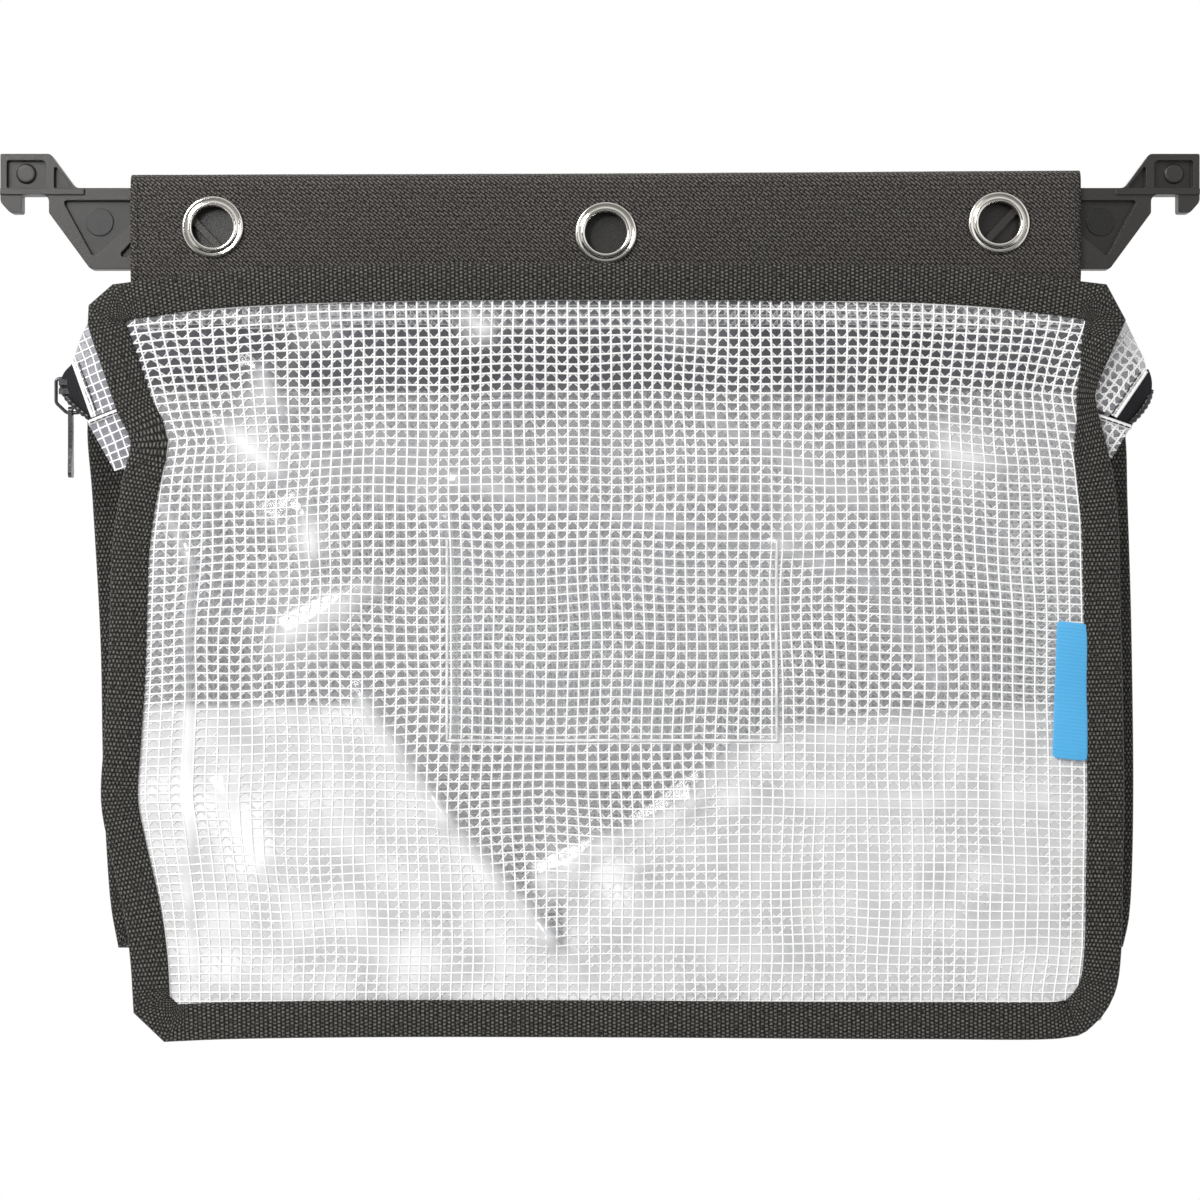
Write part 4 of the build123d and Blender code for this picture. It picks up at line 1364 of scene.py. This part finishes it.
class POUCH_OT_trimmings(bpy.types.Operator):
    """Make the card pocket and side label, and finish the zip's slider and pull"""

    bl_idname = "pouch.trimmings"
    bl_label = "Pocket, label and slider"

    def execute(self, context):
        pocket = sheet_object("card_pocket_film", pocket_point, (60, 40), POCKET_SIZE,
                              clear_pocket_film())
        face_out(pocket, (0, -1, 0))
        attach(pocket, "pouch_front")
        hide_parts("card_pocket")
        weld = pocket_weld()
        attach(weld, "pouch_front")
        label = sheet_object("side_label_tape", label_point, (5, 13), (11.6, 46),
                             satin_label())
        face_out(label, (0, -1, 0))
        thicken(label, 0.45, rounds=2)
        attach(label, "pouch_front")
        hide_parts("side_label")
        paint_node("zip_slider", enamelled_zinc())
        paint_node("zip_pull_tab", enamelled_zinc())
        return {"FINISHED"}


def pocket_point(u, v, stand=0.55):
    """Clear pocket lying this far in front of the creased film, open at its top."""
    x = POCKET_LEFT + POCKET_SIZE[0] * u
    z = POCKET_TOP - POCKET_SIZE[1] * v
    gape = 0.7 * np.exp(-(v / 0.12) ** 2) * np.sin(u * math.pi)
    return np.stack([x, FRONT_Y - front_relief(x, z) - stand - gape, z], -1)


def pocket_weld():
    """Welded bead down the sides and along the foot of the card pocket."""
    route = [(0.006, v) for v in np.linspace(0, 0.99, 40)]
    route += [(u, 0.99) for u in np.linspace(0.006, 0.994, 60)[1:]]
    route += [(0.994, v) for v in np.linspace(0.99, 0, 40)[1:]]
    centre = pocket_point(*np.array(route).T, stand=0.5)
    along = unit(np.gradient(centre, axis=0))
    out = np.array((0.0, -1.0, 0.0))
    side = unit(np.cross(along, out))
    ring = [centre + side * 0.55, centre + out * 0.3, centre - side * 0.55, centre - out * 0.2]
    made = grid_object("card_pocket_weld", np.stack(ring, 1), welded_film(), ring=True)
    close_up(made, ends=True)
    return made


def label_point(u, v):
    """Folded label sewn in under the right binding, lying on the film."""
    x = 162.6 - (10.4 + 1.6 * v) * u
    z = -146.2 - 46.0 * v + 1.2 * (u - 0.5)
    y = FRONT_Y - front_relief(x, z) - 0.95 - 0.35 * np.sin(u * math.pi) - 0.2 * np.sin(v * 9)
    return np.stack([x, y, z], -1)


class POUCH_OT_stage(bpy.types.Operator):
    """Set the camera, the soft studio light and the pale floor"""

    bl_idname = "pouch.stage"
    bl_label = "Stage"

    def execute(self, context):
        scene = context.scene
        scene.view_settings.view_transform = "Standard"
        # The camera stands level with the pouch's middle, as the photo's did.
        camera = bpy.data.objects.new("camera", bpy.data.cameras.new("camera"))
        camera.location = (0, -0.9, -0.1389)
        camera.rotation_euler = (math.pi / 2, 0, 0)
        camera.data.lens = 78.57
        camera.data.clip_end = 20
        scene.collection.objects.link(camera)
        scene.camera = camera
        lamp("key", (-0.95, -1.0, 0.75), (0.0, 0.0, -0.12), 0.6, 18.0)
        lamp("glare", (-0.5, -1.05, 0.28), (0.0, 0.0, -0.14), 0.3, 4.5)
        lamp("fill", (0.9, -1.2, 0.15), (0.0, 0.0, -0.15), 1.1, 2.5)
        lamp("rim", (0.1, 1.0, 0.7), (0.0, 0.0, -0.12), 0.9, 5.0)
        world_light(scene)
        bpy.ops.mesh.primitive_circle_add(vertices=96, radius=0.55, fill_type="NGON",
                                          location=(0, 0, -0.52))
        floor = context.active_object
        floor.name = "floor"
        floor.data.materials.append(painted_board())
        return {"FINISHED"}


def lamp(name, place, target, size, power):
    """A large soft area lamp that looks at a point."""
    made = bpy.data.objects.new(name, bpy.data.lights.new(name, "AREA"))
    made.data.shape = "DISK"
    made.data.size = size
    made.data.energy = power
    made.location = place
    aim = Vector(target) - Vector(place)
    made.rotation_euler = aim.to_track_quat("-Z", "Y").to_euler()
    bpy.context.scene.collection.objects.link(made)


def world_light(scene):
    """Pale surroundings, plain white where the camera sees them, and dim behind
    the camera where shiny pieces mirror them, as a studio is."""
    scene.world = bpy.data.worlds.new("studio")
    scene.world.use_nodes = True
    tree = scene.world.node_tree
    tree.nodes.clear()
    path = add(tree, "LightPath").node.outputs
    behind = add(tree, "VectorMath", (add(tree, "TexCoord", out="Generated"), (0, -1, 0)),
                 "Value", operation="DOT_PRODUCT")
    mirrored = add(tree, "MapRange", (behind, 0.5, 0.95, 1.0, 0.24))
    lit = add(tree, "Mix", {0: path["Is Glossy Ray"], 2: 0.45, 3: mirrored})
    seen = add(tree, "Math", (path["Is Camera Ray"], path["Is Transmission Ray"]),
               operation="MAXIMUM")
    strength = add(tree, "Mix", {0: seen, 2: lit, 3: 1.0})
    back = add(tree, "Background", {"Color": (1, 1, 1, 1), "Strength": strength})
    add(tree, "OutputWorld", {"Surface": back})


class POUCH_PT_panel(bpy.types.Panel):
    """Lists the pouch's settings and the operators that make its pieces"""

    bl_idname = "POUCH_PT_panel"
    bl_label = "Document pouch"
    bl_space_type = "VIEW_3D"
    bl_region_type = "UI"
    bl_category = "Pouch"

    def draw(self, context):
        for name in PouchSettings.__annotations__:
            self.layout.prop(context.scene.pouch_settings, name)
        for operator in OPERATORS:
            self.layout.operator(operator.bl_idname)


OPERATORS = (
    POUCH_OT_stage, POUCH_OT_bar, POUCH_OT_header, POUCH_OT_eyelets, POUCH_OT_front_panel,
    POUCH_OT_back_panel, POUCH_OT_mouth, POUCH_OT_gussets, POUCH_OT_trimmings,
)


def register():
    """Add the settings, the operators and the panel."""
    bpy.utils.register_class(PouchSettings)
    bpy.types.Scene.pouch_settings = bpy.props.PointerProperty(type=PouchSettings)
    for made in (*OPERATORS, POUCH_PT_panel):
        bpy.utils.register_class(made)


def unregister():
    """Take them away again, the last first."""
    for made in (POUCH_PT_panel, *reversed(OPERATORS)):
        bpy.utils.unregister_class(made)
    del bpy.types.Scene.pouch_settings
    bpy.utils.unregister_class(PouchSettings)


def main():
    """Make the stage and every piece."""
    register()
    for operator in OPERATORS:
        group, name = operator.bl_idname.split(".")
        getattr(getattr(bpy.ops, group), name)()


if __name__ == "__main__":
    main()
